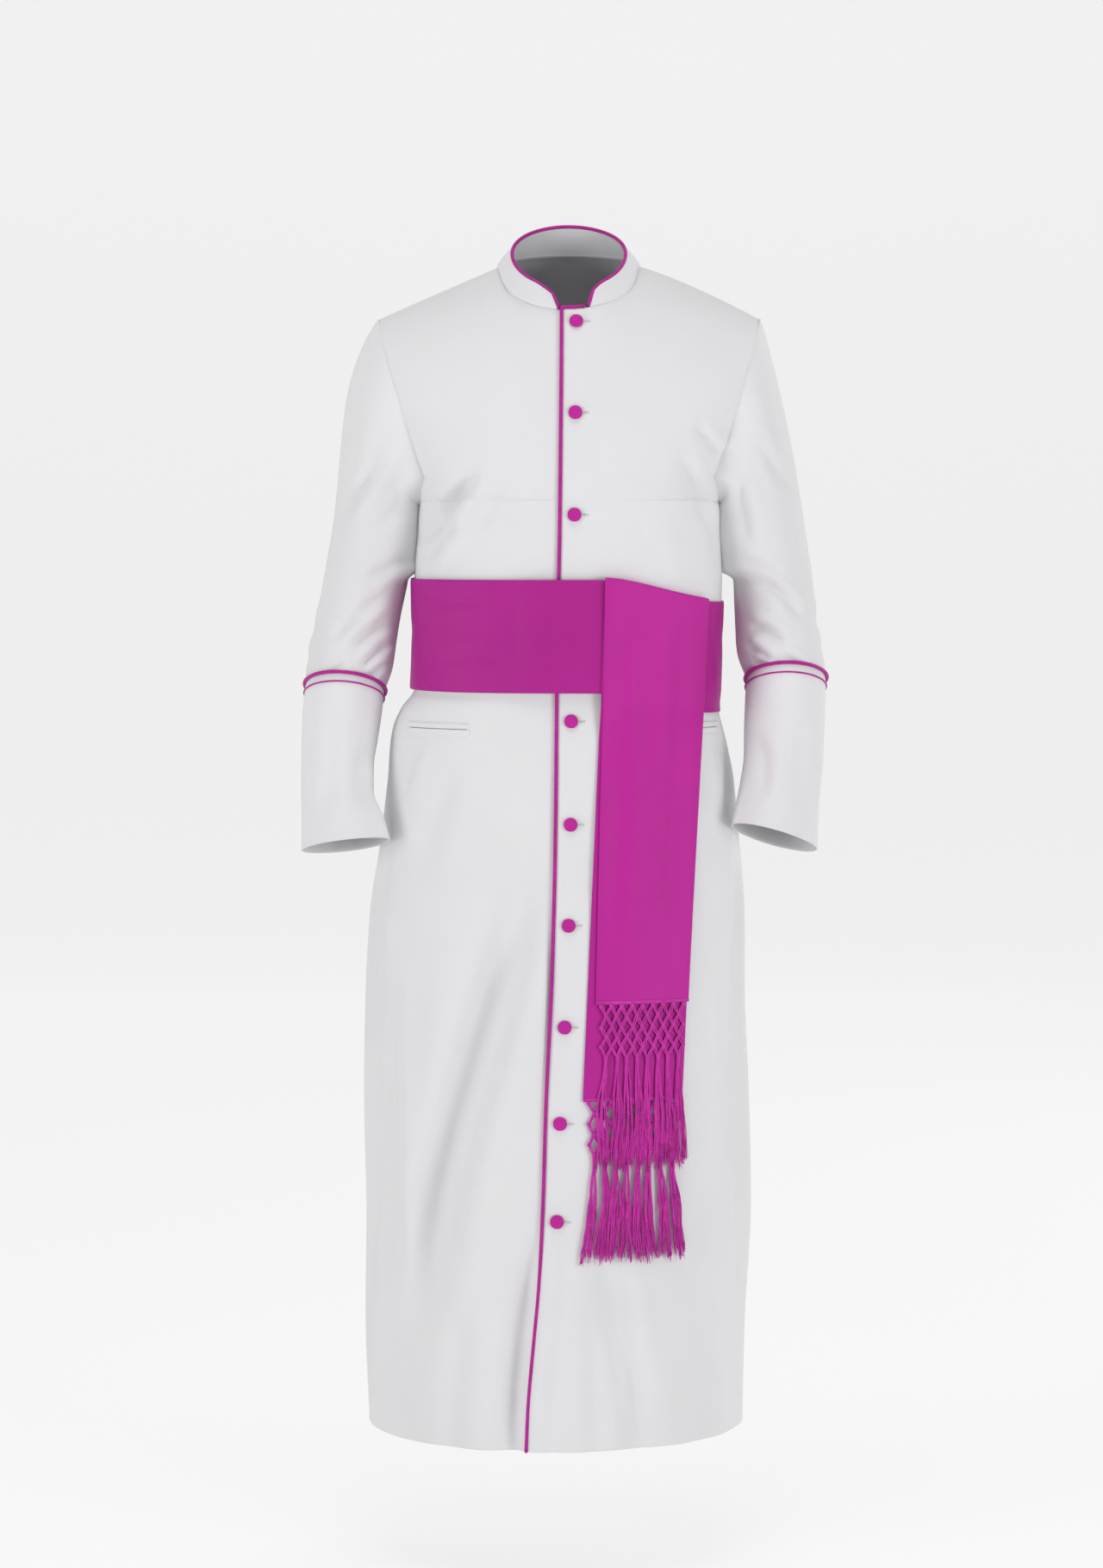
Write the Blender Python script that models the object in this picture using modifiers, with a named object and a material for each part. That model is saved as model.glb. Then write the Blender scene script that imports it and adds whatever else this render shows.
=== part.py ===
"""A white clergy robe with covered buttons, deep cuffs and a fringed waist band.

Units are metres. Z is up, the front faces -Y and the wearer's left side is at +X.
The origin is at the centre of the neck hole, where the robe hangs on the shoulders.
"""
import math
from collections import namedtuple

import bmesh
import bpy
from mathutils import Vector

# Cloth thicknesses and the gap left at every seam
CLOTH = 0.0016
COLLAR_CLOTH = 0.0022
BAND_CLOTH = 0.0018
FALL_CLOTH = 0.0014
WELT_CLOTH = 0.0012
GAP = 0.0003
SPACE = 0.0006

# Heights of the robe
SIDE_TOP_Z = -0.262
CHEST_Z = -0.235

# Neck and shoulders
NECK_HALF_WIDTH = 0.081
NECK_FRONT = 0.078
NECK_BACK = 0.066
NECK_SIDE_Z = 0.004
NECK_FRONT_DROP = 0.051
NECK_BACK_RISE = 0.016
NECK_ROUNDNESS = 0.85
SHOULDER_X = 0.2205
ARMHOLE_ANGLE = math.radians(70)
ARMHOLE_FULLNESS = 0.012
NECK_SHARE = 0.577
Slope = namedtuple("Slope", "fall curve")
SHOULDER_SLOPE = {1: Slope(0.32, 0.80), -1: Slope(0.42, 0.10)}

# How the cloth rounds over between chest and shoulders, at the middle and at the armhole
YOKE_BEND = {1: (2.2, 2.5), -1: (2.6, 2.5)}
YOKE_ROLL = {1: (1.0, 0.62), -1: (0.8, 0.62)}
YOKE_SPREAD = 0.12

# The front lap
LAP_COLUMNS = 2
LAP_LIFT = 0.0019
LAP_FLAT = 0.046
LAP_FADE = 0.050

# Trims
PIPING_RADIUS = 0.0019
THIN_PIPING_RADIUS = 0.0009
BUTTON_RADIUS = 0.0078
BUTTON_THICKNESS = 0.0042
BUTTON_INSET = 0.0145
BUTTON_SIDES = 12
BUTTON_PROFILE = ((0.0, 0.93), (0.30, 1.0), (0.72, 0.82))
THIN_PIPING_SHARE = 0.42
NOTCH_PIPING_SHARE = 0.95
BUTTON_HEIGHTS = (-0.062, -0.163, -0.278, -0.511, -0.626, -0.739, -0.853, -0.961, -1.071)

# Body sections from the chest to the hem: half width, depths in front and behind,
# middle line and squareness of the oval
Section = namedtuple("Section", "height half_width front back centre_x power")
BODY = (
    Section(-0.235, 0.1700, 0.1160, 0.1120, 0.0000, 3.10),
    Section(-0.300, 0.1735, 0.1200, 0.1080, 0.0000, 2.80),
    Section(-0.354, 0.1750, 0.1220, 0.1040, -0.0005, 2.55),
    Section(-0.420, 0.1735, 0.1235, 0.1020, -0.0010, 2.40),
    Section(-0.480, 0.1740, 0.1250, 0.1060, -0.0030, 2.35),
    Section(-0.502, 0.1810, 0.1280, 0.1110, -0.0110, 2.30),
    Section(-0.522, 0.1880, 0.1320, 0.1170, -0.0130, 2.30),
    Section(-0.545, 0.1930, 0.1360, 0.1230, -0.0120, 2.25),
    Section(-0.585, 0.1985, 0.1400, 0.1310, -0.0095, 2.25),
    Section(-0.650, 0.2045, 0.1450, 0.1410, -0.0100, 2.20),
    Section(-0.742, 0.2130, 0.1520, 0.1500, -0.0135, 2.20),
    Section(-0.850, 0.2160, 0.1600, 0.1580, -0.0165, 2.20),
    Section(-0.950, 0.2195, 0.1680, 0.1660, -0.0155, 2.15),
    Section(-1.080, 0.2210, 0.1780, 0.1770, -0.0125, 2.15),
    Section(-1.220, 0.2190, 0.1890, 0.1880, -0.0155, 2.10),
    Section(-1.329, 0.2155, 0.1980, 0.1980, -0.0145, 2.10),
)

# The line of the over front's edge
EdgePoint = namedtuple("EdgePoint", "height x")
FRONT_EDGE = (
    EdgePoint(-0.047, -0.0066),
    EdgePoint(-0.300, -0.0090),
    EdgePoint(-0.420, -0.0115),
    EdgePoint(-0.670, -0.0140),
    EdgePoint(-0.785, -0.0170),
    EdgePoint(-0.947, -0.0245),
    EdgePoint(-1.050, -0.0275),
    EdgePoint(-1.147, -0.0325),
    EdgePoint(-1.213, -0.0380),
    EdgePoint(-1.280, -0.0435),
    EdgePoint(-1.329, -0.0455),
)

# Largest folds, from their upper to their lower end. Angles in degrees run from the
# middle of the front to the wearer's left; a negative depth is a trough.
FOLD_RISE = 0.3
FOLD_FADE = 0.25
Fold = namedtuple("Fold", "top_z top_deg low_z low_deg width depth")
FOLDS = (
    Fold(-0.640, -13, -1.240, -53, 0.030, -0.0060),
    Fold(-0.700, -34, -1.300, -66, 0.034, 0.0045),
    Fold(-0.640, -74, -1.300, -80, 0.020, -0.0045),
    Fold(-1.140, -14, -1.420, -15, 0.020, -0.0050),
    Fold(-1.120, 18, -1.400, 23, 0.022, -0.0030),
    Fold(-1.150, 34, -1.420, 36, 0.022, -0.0040),
    Fold(-0.760, 62, -1.420, 68, 0.030, -0.0045),
    Fold(-0.215, -46, -0.320, -66, 0.014, -0.0035),
    Fold(-0.560, 148, -1.420, 138, 0.034, -0.0065),
    Fold(-0.600, 168, -1.420, 164, 0.036, 0.0050),
    Fold(-0.560, 188, -1.420, 193, 0.032, -0.0070),
    Fold(-0.620, 214, -1.420, 224, 0.034, 0.0055),
    Fold(-0.700, 238, -1.420, 246, 0.030, -0.0055),
    Fold(-0.240, 158, -0.360, 176, 0.022, -0.0030),
)

# Rows of the panels, from the hem up
SKIRT_ROWS = (
    -1.329, -1.272, -1.205, -1.130, -1.050, -0.970, -0.890, -0.810, -0.735, -0.660,
    -0.600, -0.552, -0.522, -0.502, -0.480, -0.445, -0.405, -0.3625, -0.315,
)
ARMHOLE_STEPS = (0.0, 0.35, 1.0)
YOKE_STEPS = tuple(1 - (1 - step / 7) ** 1.5 for step in range(1, 8))
NECK_COLUMNS = 8
UNDER_NECK_COLUMNS = 7
SHOULDER_COLUMNS = 5
BACK_NECK_COLUMNS = 12

# Sleeves and cuffs: the rings an arm's cloth passes through. Tilt lifts the front of
# a ring, roll lowers its outer side; both in degrees.
Ring = namedtuple("Ring", "height x y half_width half_depth tilt roll")
SLEEVE_RINGS = {
    1: (
        Ring(-0.300, 0.2262, 0.002, 0.0455, 0.0600, 2, 0),
        Ring(-0.325, 0.2312, 0.004, 0.0448, 0.0590, 2, 0),
        Ring(-0.350, 0.2355, 0.006, 0.0446, 0.0580, 3, 0),
        Ring(-0.378, 0.2380, 0.007, 0.0455, 0.0565, 5, 0),
        Ring(-0.406, 0.2402, 0.005, 0.0464, 0.0550, 9, 0),
        Ring(-0.436, 0.2438, 0.001, 0.0480, 0.0535, 16, 0),
        Ring(-0.4655, 0.2505, -0.008, 0.0440, 0.0505, 22, 0),
    ),
    -1: (
        Ring(-0.300, 0.2268, 0.002, 0.0455, 0.0600, 2, 0),
        Ring(-0.328, 0.2312, 0.004, 0.0466, 0.0590, 2, 0),
        Ring(-0.358, 0.2358, 0.006, 0.0475, 0.0575, 3, 0),
        Ring(-0.390, 0.2425, 0.007, 0.0474, 0.0560, 5, 0),
        Ring(-0.420, 0.2482, 0.005, 0.0480, 0.0545, 9, -1),
        Ring(-0.448, 0.2525, 0.000, 0.0482, 0.0530, 16, -3),
        Ring(-0.4765, 0.2580, -0.008, 0.0438, 0.0505, 22, -4),
    ),
}
CUFF_RINGS = {
    1: (
        Ring(-0.490, 0.2494, -0.015, 0.0447, 0.0490, 21, 1),
        Ring(-0.525, 0.2474, -0.027, 0.0446, 0.0470, 20, 3),
        Ring(-0.560, 0.2459, -0.040, 0.0442, 0.0455, 19, 6),
        Ring(-0.592, 0.2415, -0.053, 0.0448, 0.0445, 18, 10),
        Ring(-0.620, 0.2375, -0.066, 0.0470, 0.0435, 17, 13),
        Ring(-0.6455, 0.2343, -0.078, 0.0491, 0.0425, 16, 16),
    ),
    -1: (
        Ring(-0.500, 0.2604, -0.015, 0.0440, 0.0490, 21, -2),
        Ring(-0.535, 0.2635, -0.027, 0.0424, 0.0470, 19, 0),
        Ring(-0.568, 0.2658, -0.040, 0.0400, 0.0455, 17, 2),
        Ring(-0.598, 0.2652, -0.053, 0.0400, 0.0445, 15, 4),
        Ring(-0.628, 0.2588, -0.067, 0.0455, 0.0435, 14, 6),
        Ring(-0.6544, 0.2547, -0.080, 0.0490, 0.0425, 13, 7),
    ),
}
CAP_STEPS = (0.0, 0.13, 0.32, 0.52, 0.72, 0.88)

# How a sleeve leaves its armhole and comes to its first ring, under the arm and on top
CAP_LEAVE_OUT = (1.0, 0.62)
CAP_LEAVE_DOWN = (0.05, 0.85)
CAP_LEAVE_FORWARD = 0.12
CAP_LEAVE_REACH = (0.50, 0.34)
CAP_ARRIVE_IN = (0.02, 0.16)
CAP_ARRIVE_REACH = (0.42, 0.45)
CUFF_GAP = 0.0009

# Collar: its rim is an oval of its own, tipped down at the front
RIM_HALF_WIDTH = 0.0655
RIM_FRONT = 0.065
RIM_BACK = 0.056
RIM_SIDE_Z = 0.020
RIM_SLOPE_FRONT = 0.67
RIM_SLOPE_BACK = 0.58
CollarEnd = namedtuple("CollarEnd", "base_deg rim_deg")
COLLAR_RIGHT_END = CollarEnd(-11.0, -19.8)
COLLAR_LEFT_END = CollarEnd(16.4, 26.7)
COLLAR_END_MARGIN_DEG = 5
COLLAR_ROWS = 3
PIPING_END_SHARE = 0.3
COLLAR_LIFT = 0.0034
COLLAR_INSET = 0.0012
COLLAR_LAP_LIFT = 0.0010
COLLAR_LAP_DEG = 30
COLLAR_LAP_FADE_DEG = 40

# Waist band; its wearer's left side hangs lower
BAND_WIDTH = 0.127
BAND_TOP_Z = -0.3515
BAND_DROP = 0.0265
BAND_DROP_START_X = 0.030
BAND_SPACE = 0.0011
BAND_STAND_OFF = 0.0046
BAND_STAND_FLAT = 0.030
BAND_STAND_FADE = 0.055
BAND_ROW_SHARES = (0.0, 0.33, 0.67, 1.0)

# Falls of the band, from the band's top edge to the fringe
Fall = namedtuple("Fall", "layer top_left top_right low_left low_right low_z")
FALLS = {
    "upper": Fall(1, 0.0395, 0.1530, 0.0290, 0.1300, -0.8240),
    "under": Fall(0, 0.0405, 0.1520, 0.0150, 0.1245, -0.9330),
}
FALL_OFFSET = 0.0056
FALL_LAYER = 0.0028
FALL_COLUMNS = 9
FALL_ROWS = 11
LONGER_FALL_ROWS = 2
FALL_EASE_START = 0.06
FALL_EASE_LENGTH = 0.05

# Fringe: a narrow heading, a knotted net and locks below each gather
HEADING = 0.0045
NET_LEVELS = 5
NET_KNOTS = 9
NET_HEIGHT = 0.058
LOCKS_PER_GATHER = 4
LOCK_WIDTH = 0.0019
FRINGE_DEPTH = 0.0024
LOCK_DROP = {"upper": 0.119, "under": 0.122}
TIP_SPREAD = {"upper": 0.008, "under": 0.024}
FRINGE_GAP = 0.0005
NET_CORNER_SHARE = 0.28
NET_CORNER_DROP = 0.003
NET_EDGE = 0.00198
NET_VALLEY = 0.00242
HOLE_SIDE = 0.00165
LOCK_ROOT_SHARE = 0.72
LOCK_TIP_SHARE = 0.92
LOCK_SWING = 0.07
LOCK_SPLIT_SHARE = 0.09
TASSEL_NECK = 0.007
TASSEL_ROOT = 0.011

# Pocket openings on the front panels
POCKET_Z = -0.5205
POCKET_HEIGHT = 0.018
POCKET_SLIT = 0.0012
POCKET_X = {1: (0.0975, 0.1700), -1: (-0.1830, -0.1105)}
POCKET_COLUMNS = 8

WHITE = (0.80, 0.80, 0.81)
MAGENTA = (0.42, 0.026, 0.27)
DEEP_MAGENTA = (0.36, 0.022, 0.23)

# Smallness of the steps that measure a surface's direction and place
NORMAL_STEP = 0.004
SEARCH_ROUNDS = 40
EDGE_ALLOWANCE = 0.01

# Angle at which the over front's edge reaches the neck seam
NECK_ANGLE_SCALE = ARMHOLE_ANGLE * NECK_SHARE / (math.pi / 2)
EDGE_TOP_ANGLE = NECK_ANGLE_SCALE * math.asin(FRONT_EDGE[0].x / NECK_HALF_WIDTH)


def clear_scene():
    """Remove whatever the new file holds."""
    for item in list(bpy.data.objects):
        bpy.data.objects.remove(item, do_unlink=True)


def cloth_material(name, colour, roughness):
    """Plain cloth finish."""
    material = bpy.data.materials.new(name)
    material.use_nodes = True
    shader = material.node_tree.nodes["Principled BSDF"]
    shader.inputs["Base Color"].default_value = (*colour, 1.0)
    shader.inputs["Roughness"].default_value = roughness
    shader.inputs["Metallic"].default_value = 0.0
    return material


def smooth_ramp(value):
    """Ease from 0 to 1 without corners."""
    value = min(max(value, 0.0), 1.0)
    return value * value * (3 - 2 * value)


def mix(first, second, share):
    """Value or point between two others."""
    return first + (second - first) * share


def at_height(table, height, column):
    """Read a column of a table at a height, on a smooth curve through its rows."""
    rows = sorted(table, key=lambda row: row.height)
    heights = [row.height for row in rows]
    values = [getattr(row, column) for row in rows]
    height = min(max(height, heights[0]), heights[-1])
    low = max(i for i in range(len(rows) - 1) if heights[i] <= height)
    slopes = [(values[i + 1] - values[i]) / (heights[i + 1] - heights[i]) for i in range(len(rows) - 1)]

    def tangent(i):
        if i == 0 or i == len(rows) - 1:
            return slopes[min(i, len(slopes) - 1)]
        before, after = slopes[i - 1], slopes[i]
        return 0.0 if before * after <= 0 else 2 * before * after / (before + after)

    span = heights[low + 1] - heights[low]
    t = (height - heights[low]) / span
    start, end = tangent(low) * span, tangent(low + 1) * span
    return (
        (2 * t**3 - 3 * t**2 + 1) * values[low] + (t**3 - 2 * t**2 + t) * start
        + (3 * t**2 - 2 * t**3) * values[low + 1] + (t**3 - t**2) * end
    )


def fold_height(theta, z, radius):
    """How far the folds push the cloth out or in at an angle and height."""
    total = 0.0
    for fold in FOLDS:
        along = (fold.top_z - z) / (fold.top_z - fold.low_z)
        if 0 < along < 1:
            middle = math.radians(mix(fold.top_deg, fold.low_deg, along))
            away = (theta - middle + math.pi) % math.tau - math.pi
            across = math.exp(-((away * radius / fold.width) ** 2))
            total += fold.depth * across * smooth_ramp(along / FOLD_RISE) * smooth_ramp((1 - along) / FOLD_FADE)
    return total


def body_point(face, beta, z, folds=True):
    """Point of the robe's inner face. Face is 1 in front and -1 behind, and beta is the
    angle from the middle of that face towards +X."""
    half_width = at_height(BODY, z, "half_width")
    depth = at_height(BODY, z, "front" if face > 0 else "back")
    power = at_height(BODY, z, "power")
    radius = (abs(math.sin(beta) / half_width) ** power + abs(math.cos(beta) / depth) ** power) ** (-1 / power)
    if folds:
        radius += fold_height(beta if face > 0 else math.pi - beta, z, radius)
    centre_x = at_height(BODY, z, "centre_x")
    return Vector((centre_x + radius * math.sin(beta), -face * radius * math.cos(beta), z))


def outside_body(face, beta, z, distance, folds=True):
    """Point at a distance outside the robe's inner face, square to it."""
    here = body_point(face, beta, z, folds)
    around = body_point(face, beta + NORMAL_STEP, z, folds) - body_point(face, beta - NORMAL_STEP, z, folds)
    upward = body_point(face, beta, z + NORMAL_STEP, folds) - body_point(face, beta, z - NORMAL_STEP, folds)
    return here + around.cross(upward).normalized() * face * distance


def angle_at_x(z, x):
    """Front angle of the point of the section that lies at x."""
    low, high = -math.pi / 2, math.pi / 2
    for _ in range(SEARCH_ROUNDS):
        middle = (low + high) / 2
        if body_point(1, middle, z, False).x < x:
            low = middle
        else:
            high = middle
    return (low + high) / 2


def lap_lift(x, z):
    """How far the over front rides above the under front."""
    beyond = x - at_height(FRONT_EDGE, z, "x") - LAP_FLAT
    return LAP_LIFT * (1 - smooth_ramp(beyond / LAP_FADE))


def neckline(face, angle):
    """Point of the neck seam at an angle from the middle of the front or back."""
    depth, rise = (NECK_FRONT, -NECK_FRONT_DROP) if face > 0 else (NECK_BACK, NECK_BACK_RISE)
    forward = max(math.cos(angle), 0.0)
    return Vector((NECK_HALF_WIDTH * math.sin(angle), -face * depth * forward, NECK_SIDE_Z + rise * forward**NECK_ROUNDNESS))


def top_point(face, beta):
    """Upper end of a panel's column: on the neck seam or on the shoulder seam."""
    share = abs(beta) / ARMHOLE_ANGLE
    side = 1 if beta > 0 else -1
    if share <= NECK_SHARE:
        return neckline(face, side * share / NECK_SHARE * math.pi / 2)
    out = (share - NECK_SHARE) / (1 - NECK_SHARE) * (SHOULDER_X - NECK_HALF_WIDTH)
    slope = SHOULDER_SLOPE[side]
    z = NECK_SIDE_Z - slope.fall * out - slope.curve * out**2
    return Vector((side * (NECK_HALF_WIDTH + out), 0.0, z))


def yoke_point(face, low_beta, top_beta, rise):
    """Point between the chest line and the neck or shoulder seam."""
    low = body_point(face, low_beta, CHEST_Z)
    top = top_point(face, top_beta)
    share = min(abs(top_beta) / ARMHOLE_ANGLE / NECK_SHARE, 1.0)
    bend = mix(*YOKE_BEND[face], share)
    roll = mix(*YOKE_ROLL[face], share)
    outward = rise ** (1 - YOKE_SPREAD * abs(low_beta) / ARMHOLE_ANGLE)
    fullness = ARMHOLE_FULLNESS * math.sin(math.pi * rise) * (abs(low_beta) / ARMHOLE_ANGLE) ** 3
    y = top.y + (low.y - top.y) * (1 - rise**bend) ** roll - face * (fullness + GAP / 2)
    return Vector((mix(low.x, top.x, outward), y, mix(low.z, top.z, rise)))


def armhole_angle(z):
    """Angle where a panel ends at a height between the side seam and the chest line."""
    seam = math.pi / 2 - GAP / 2 / BODY[0].half_width
    share = (z - SIDE_TOP_Z) / (CHEST_Z - SIDE_TOP_Z)
    return seam if share <= 0 else mix(seam, ARMHOLE_ANGLE, math.sqrt(share))


def spread(first, last, count):
    """Evenly spaced values from the first up to but not including the last."""
    return [mix(first, last, step / count) for step in range(count)]


def over_columns(edge, seam):
    """Angles of the over front's columns, from its edge to the side seam. One column
    runs up to where the neck seam meets the shoulder seam."""
    station = seam * NECK_SHARE
    return spread(edge, station, NECK_COLUMNS) + spread(station, seam, SHOULDER_COLUMNS) + [seam]


def under_columns(edge, seam):
    """Angles of the under front's columns. Its last ones lie behind the over front's first."""
    station = -seam * NECK_SHARE
    shown = spread(-seam, station, SHOULDER_COLUMNS) + spread(station, edge, UNDER_NECK_COLUMNS)
    return shown + over_columns(edge, seam)[: LAP_COLUMNS + 1]


def back_columns(_, seam):
    """Angles of the back's columns, from side seam to side seam."""
    station = seam * NECK_SHARE
    shoulder = spread(-seam, -station, SHOULDER_COLUMNS)
    neck = spread(-station, station, BACK_NECK_COLUMNS)
    return shoulder + neck + spread(station, seam, SHOULDER_COLUMNS) + [seam]


def panel_rows(face, columns):
    """Rows of points of a panel, from the hem to the neck and shoulder seams."""
    heights = list(SKIRT_ROWS) + [mix(SIDE_TOP_Z, CHEST_Z, step) for step in ARMHOLE_STEPS]
    rows = [[body_point(face, beta, z) for beta in columns(over_edge(z), armhole_angle(z))] for z in heights]
    low = columns(over_edge(CHEST_Z), ARMHOLE_ANGLE)
    top = columns(EDGE_TOP_ANGLE, ARMHOLE_ANGLE)
    for rise in YOKE_STEPS:
        rows.append([yoke_point(face, low_beta, top_beta, rise) for low_beta, top_beta in zip(low, top)])
    return rows


def normals_of(rows, flip=False, closed=False):
    """Unit vectors square to a grid of points at each of them."""
    height, width = len(rows), len(rows[0])
    normals = []
    for i, row in enumerate(rows):
        line = []
        for j in range(width):
            after = row[(j + 1) % width] if closed else row[min(j + 1, width - 1)]
            before = row[j - 1] if closed or j > 0 else row[0]
            upward = rows[min(i + 1, height - 1)][j] - rows[max(i - 1, 0)][j]
            square = (after - before).cross(upward).normalized()
            line.append(-square if flip else square)
        normals.append(line)
    return normals


def beyond_edge(points, normals, closed=False):
    """Unit vectors that lead off a cloth's edge, in the cloth and square to the edge."""
    outward = []
    for k, normal in enumerate(normals):
        after = points[(k + 1) % len(points)] if closed else points[min(k + 1, len(points) - 1)]
        before = points[k - 1] if closed or k > 0 else points[0]
        outward.append((after - before).cross(normal).normalized())
    return outward


def collection_named(name):
    """New collection linked to the scene."""
    group = bpy.data.collections.new(name)
    bpy.context.scene.collection.children.link(group)
    return group


def add_object(name, mesh, material):
    """Put a mesh in the robe's collection under its piece's name."""
    item = bpy.data.objects.new(name, mesh)
    mesh.materials.clear()
    mesh.materials.append(material)
    bpy.data.collections["clergy_robe"].objects.link(item)
    return item


def cloth_piece(name, rows, material, thickness, flip=False, closed=False, hole=None):
    """Cloth wall whose inner face is a grid of points and whose thickness lies outside."""
    width = len(rows[0])
    mesh = bmesh.new()
    grid = [[mesh.verts.new(point) for point in row] for row in rows]
    for i in range(len(rows) - 1):
        for j in range(width if closed else width - 1):
            if hole and hole(i, j):
                continue
            corners = [grid[i][j], grid[i][(j + 1) % width], grid[i + 1][(j + 1) % width], grid[i + 1][j]]
            mesh.faces.new(corners[::-1] if flip else corners)
    data = bpy.data.meshes.new(name)
    mesh.to_mesh(data)
    mesh.free()
    data.shade_smooth()
    piece = add_object(name, data, material)
    wall = piece.modifiers.new("cloth wall", "SOLIDIFY")
    wall.thickness = thickness
    wall.offset = 1.0
    return piece


def tube_piece(name, points, radius, material, closed=False):
    """Piping: a round cord covered in cloth along a line of points."""
    curve = bpy.data.curves.new(name, "CURVE")
    curve.dimensions = "3D"
    curve.bevel_depth = radius
    curve.bevel_resolution = 1
    curve.use_fill_caps = True
    line = curve.splines.new("POLY")
    line.points.add(len(points) - 1)
    for spot, point in zip(line.points, points):
        spot.co = (*point, 1.0)
    line.use_cyclic_u = closed
    curve.materials.append(material)
    piece = bpy.data.objects.new(name, curve)
    bpy.data.collections["clergy_robe"].objects.link(piece)
    return piece


def over_edge(z):
    """Front angle of the over front's edge at a height."""
    return angle_at_x(z, at_height(FRONT_EDGE, z, "x"))


def build_fronts(white):
    """The two fronts; the wearer's left one laps over the right one."""
    over = panel_rows(1, over_columns)
    lifted = []
    for row, normals in zip(over, normals_of(over)):
        lifted.append([point + normal * lap_lift(point.x, point.z) for point, normal in zip(row, normals)])
    cloth_piece("front_left", lifted, white, CLOTH)

    under = panel_rows(1, under_columns)
    cloth_piece("front_right", under, white, CLOTH)
    return over, lifted, under


def build_back(white):
    """The back, in one piece."""
    rows = panel_rows(-1, back_columns)
    cloth_piece("back", rows, white, CLOTH, flip=True)
    return rows


def ring_point(side, ring, angle):
    """Point of an arm ring. The angle runs from the body side over the front."""
    tilt, roll = math.radians(ring.tilt), math.radians(ring.roll)
    out = -math.cos(angle) * ring.half_width
    forward = math.sin(angle) * ring.half_depth
    return Vector((
        side * (ring.x + out * math.cos(roll)),
        ring.y - forward * math.cos(tilt),
        ring.height + forward * math.sin(tilt) - out * math.sin(roll),
    ))


def armhole_line(front_rows, back_rows, column):
    """A column's values from under the arm over the front to the shoulder and down the back."""
    start = len(SKIRT_ROWS)
    front = [row[column] for row in front_rows[start:]]
    back = [row[column] for row in back_rows[start:]]
    bottom, top = (front[0] + back[0]) / 2, (front[-1] + back[-1]) / 2
    return [bottom] + front[1:-1] + [top] + back[-2:0:-1]


def build_sleeve(side, loop, panel_normals, white):
    """Sleeve from the armhole to the cuff seam, and the deep cuff below it."""
    outward = [side * vector for vector in beyond_edge(loop, panel_normals, closed=True)]
    name = "left" if side > 0 else "right"
    half = len(loop) // 2
    rings = SLEEVE_RINGS[side]
    lengths = [0.0]
    for k in range(1, len(loop) + 1):
        lengths.append(lengths[-1] + (loop[k % len(loop)] - loop[k - 1]).length)
    front_length, back_length = lengths[half], lengths[-1] - lengths[half]
    angles = []
    for k in range(len(loop)):
        if k <= half:
            angles.append(math.pi * lengths[k] / front_length)
        else:
            angles.append(math.pi * (1 + (lengths[k] - lengths[half]) / back_length))

    rows = []
    for step in CAP_STEPS:
        row = []
        for edge, angle, off, normal in zip(loop, angles, outward, panel_normals):
            up = (1 - math.cos(angle)) / 2
            leave = Vector((
                side * mix(*CAP_LEAVE_OUT, up), -CAP_LEAVE_FORWARD * math.sin(angle), -mix(*CAP_LEAVE_DOWN, up),
            )).normalized()
            valley = max(leave.dot(normal.normalized()), 0.0)
            start = edge + off * (SPACE + CLOTH * valley)
            end = ring_point(side, rings[0], angle)
            reach = (end - start).length
            arrive = Vector((-side * mix(*CAP_ARRIVE_IN, up), 0.0, 1.0)).normalized()
            first = start + leave * reach * mix(*CAP_LEAVE_REACH, up)
            second = end + arrive * reach * mix(*CAP_ARRIVE_REACH, up)
            row.append(
                start * (1 - step) ** 3 + first * 3 * step * (1 - step) ** 2
                + second * 3 * step**2 * (1 - step) + end * step**3
            )
        rows.append(row)
    rows += [[ring_point(side, ring, angle) for angle in angles] for ring in rings]
    cloth_piece(f"sleeve_{name}", rows, white, CLOTH, flip=side > 0, closed=True)

    cuff_rings = [cuff_start(side)] + list(CUFF_RINGS[side])
    cuff = [[ring_point(side, ring, angle) for angle in angles] for ring in cuff_rings]
    cloth_piece(f"cuff_{name}", cuff, white, CLOTH, flip=side > 0, closed=True)
    return angles


def cuff_start(side):
    """First ring of a cuff, a little below the sleeve's last ring and square to it."""
    ring = SLEEVE_RINGS[side][-1]
    tilt = math.radians(ring.tilt)
    return ring._replace(height=ring.height - CUFF_GAP * math.cos(tilt), y=ring.y - CUFF_GAP * math.sin(tilt))


def build_cuff_piping(side, angles, magenta):
    """Two piping lines round the arm: a thick one over the cuff seam and a thin one below it."""
    name = "left" if side > 0 else "right"
    for label, radius, share in (("upper", PIPING_RADIUS, 0.0), ("lower", THIN_PIPING_RADIUS, THIN_PIPING_SHARE)):
        first, second = cuff_start(side), CUFF_RINGS[side][0]
        ring = Ring(*[mix(a, b, share) for a, b in zip(first, second)])
        out = CLOTH + GAP + radius
        wider = ring._replace(half_width=ring.half_width + out, half_depth=ring.half_depth + out)
        points = [ring_point(side, wider, angle) for angle in angles]
        tube_piece(f"piping_cuff_{label}_{name}", points, radius, magenta, closed=True)


def rim_point(angle):
    """Point of the collar's rim at an angle from the middle of the front."""
    y = -math.cos(angle) * (RIM_FRONT if math.cos(angle) > 0 else RIM_BACK)
    slope = RIM_SLOPE_FRONT if y < 0 else RIM_SLOPE_BACK
    return Vector((RIM_HALF_WIDTH * math.sin(angle), y, RIM_SIDE_Z + slope * y))


def neck_seam(angle):
    """Point of the neck seam at an angle counted all the way round from the front."""
    if math.cos(angle) >= 0:
        return neckline(1, math.asin(math.sin(angle)))
    return neckline(-1, math.asin(math.sin(angle)))


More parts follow.
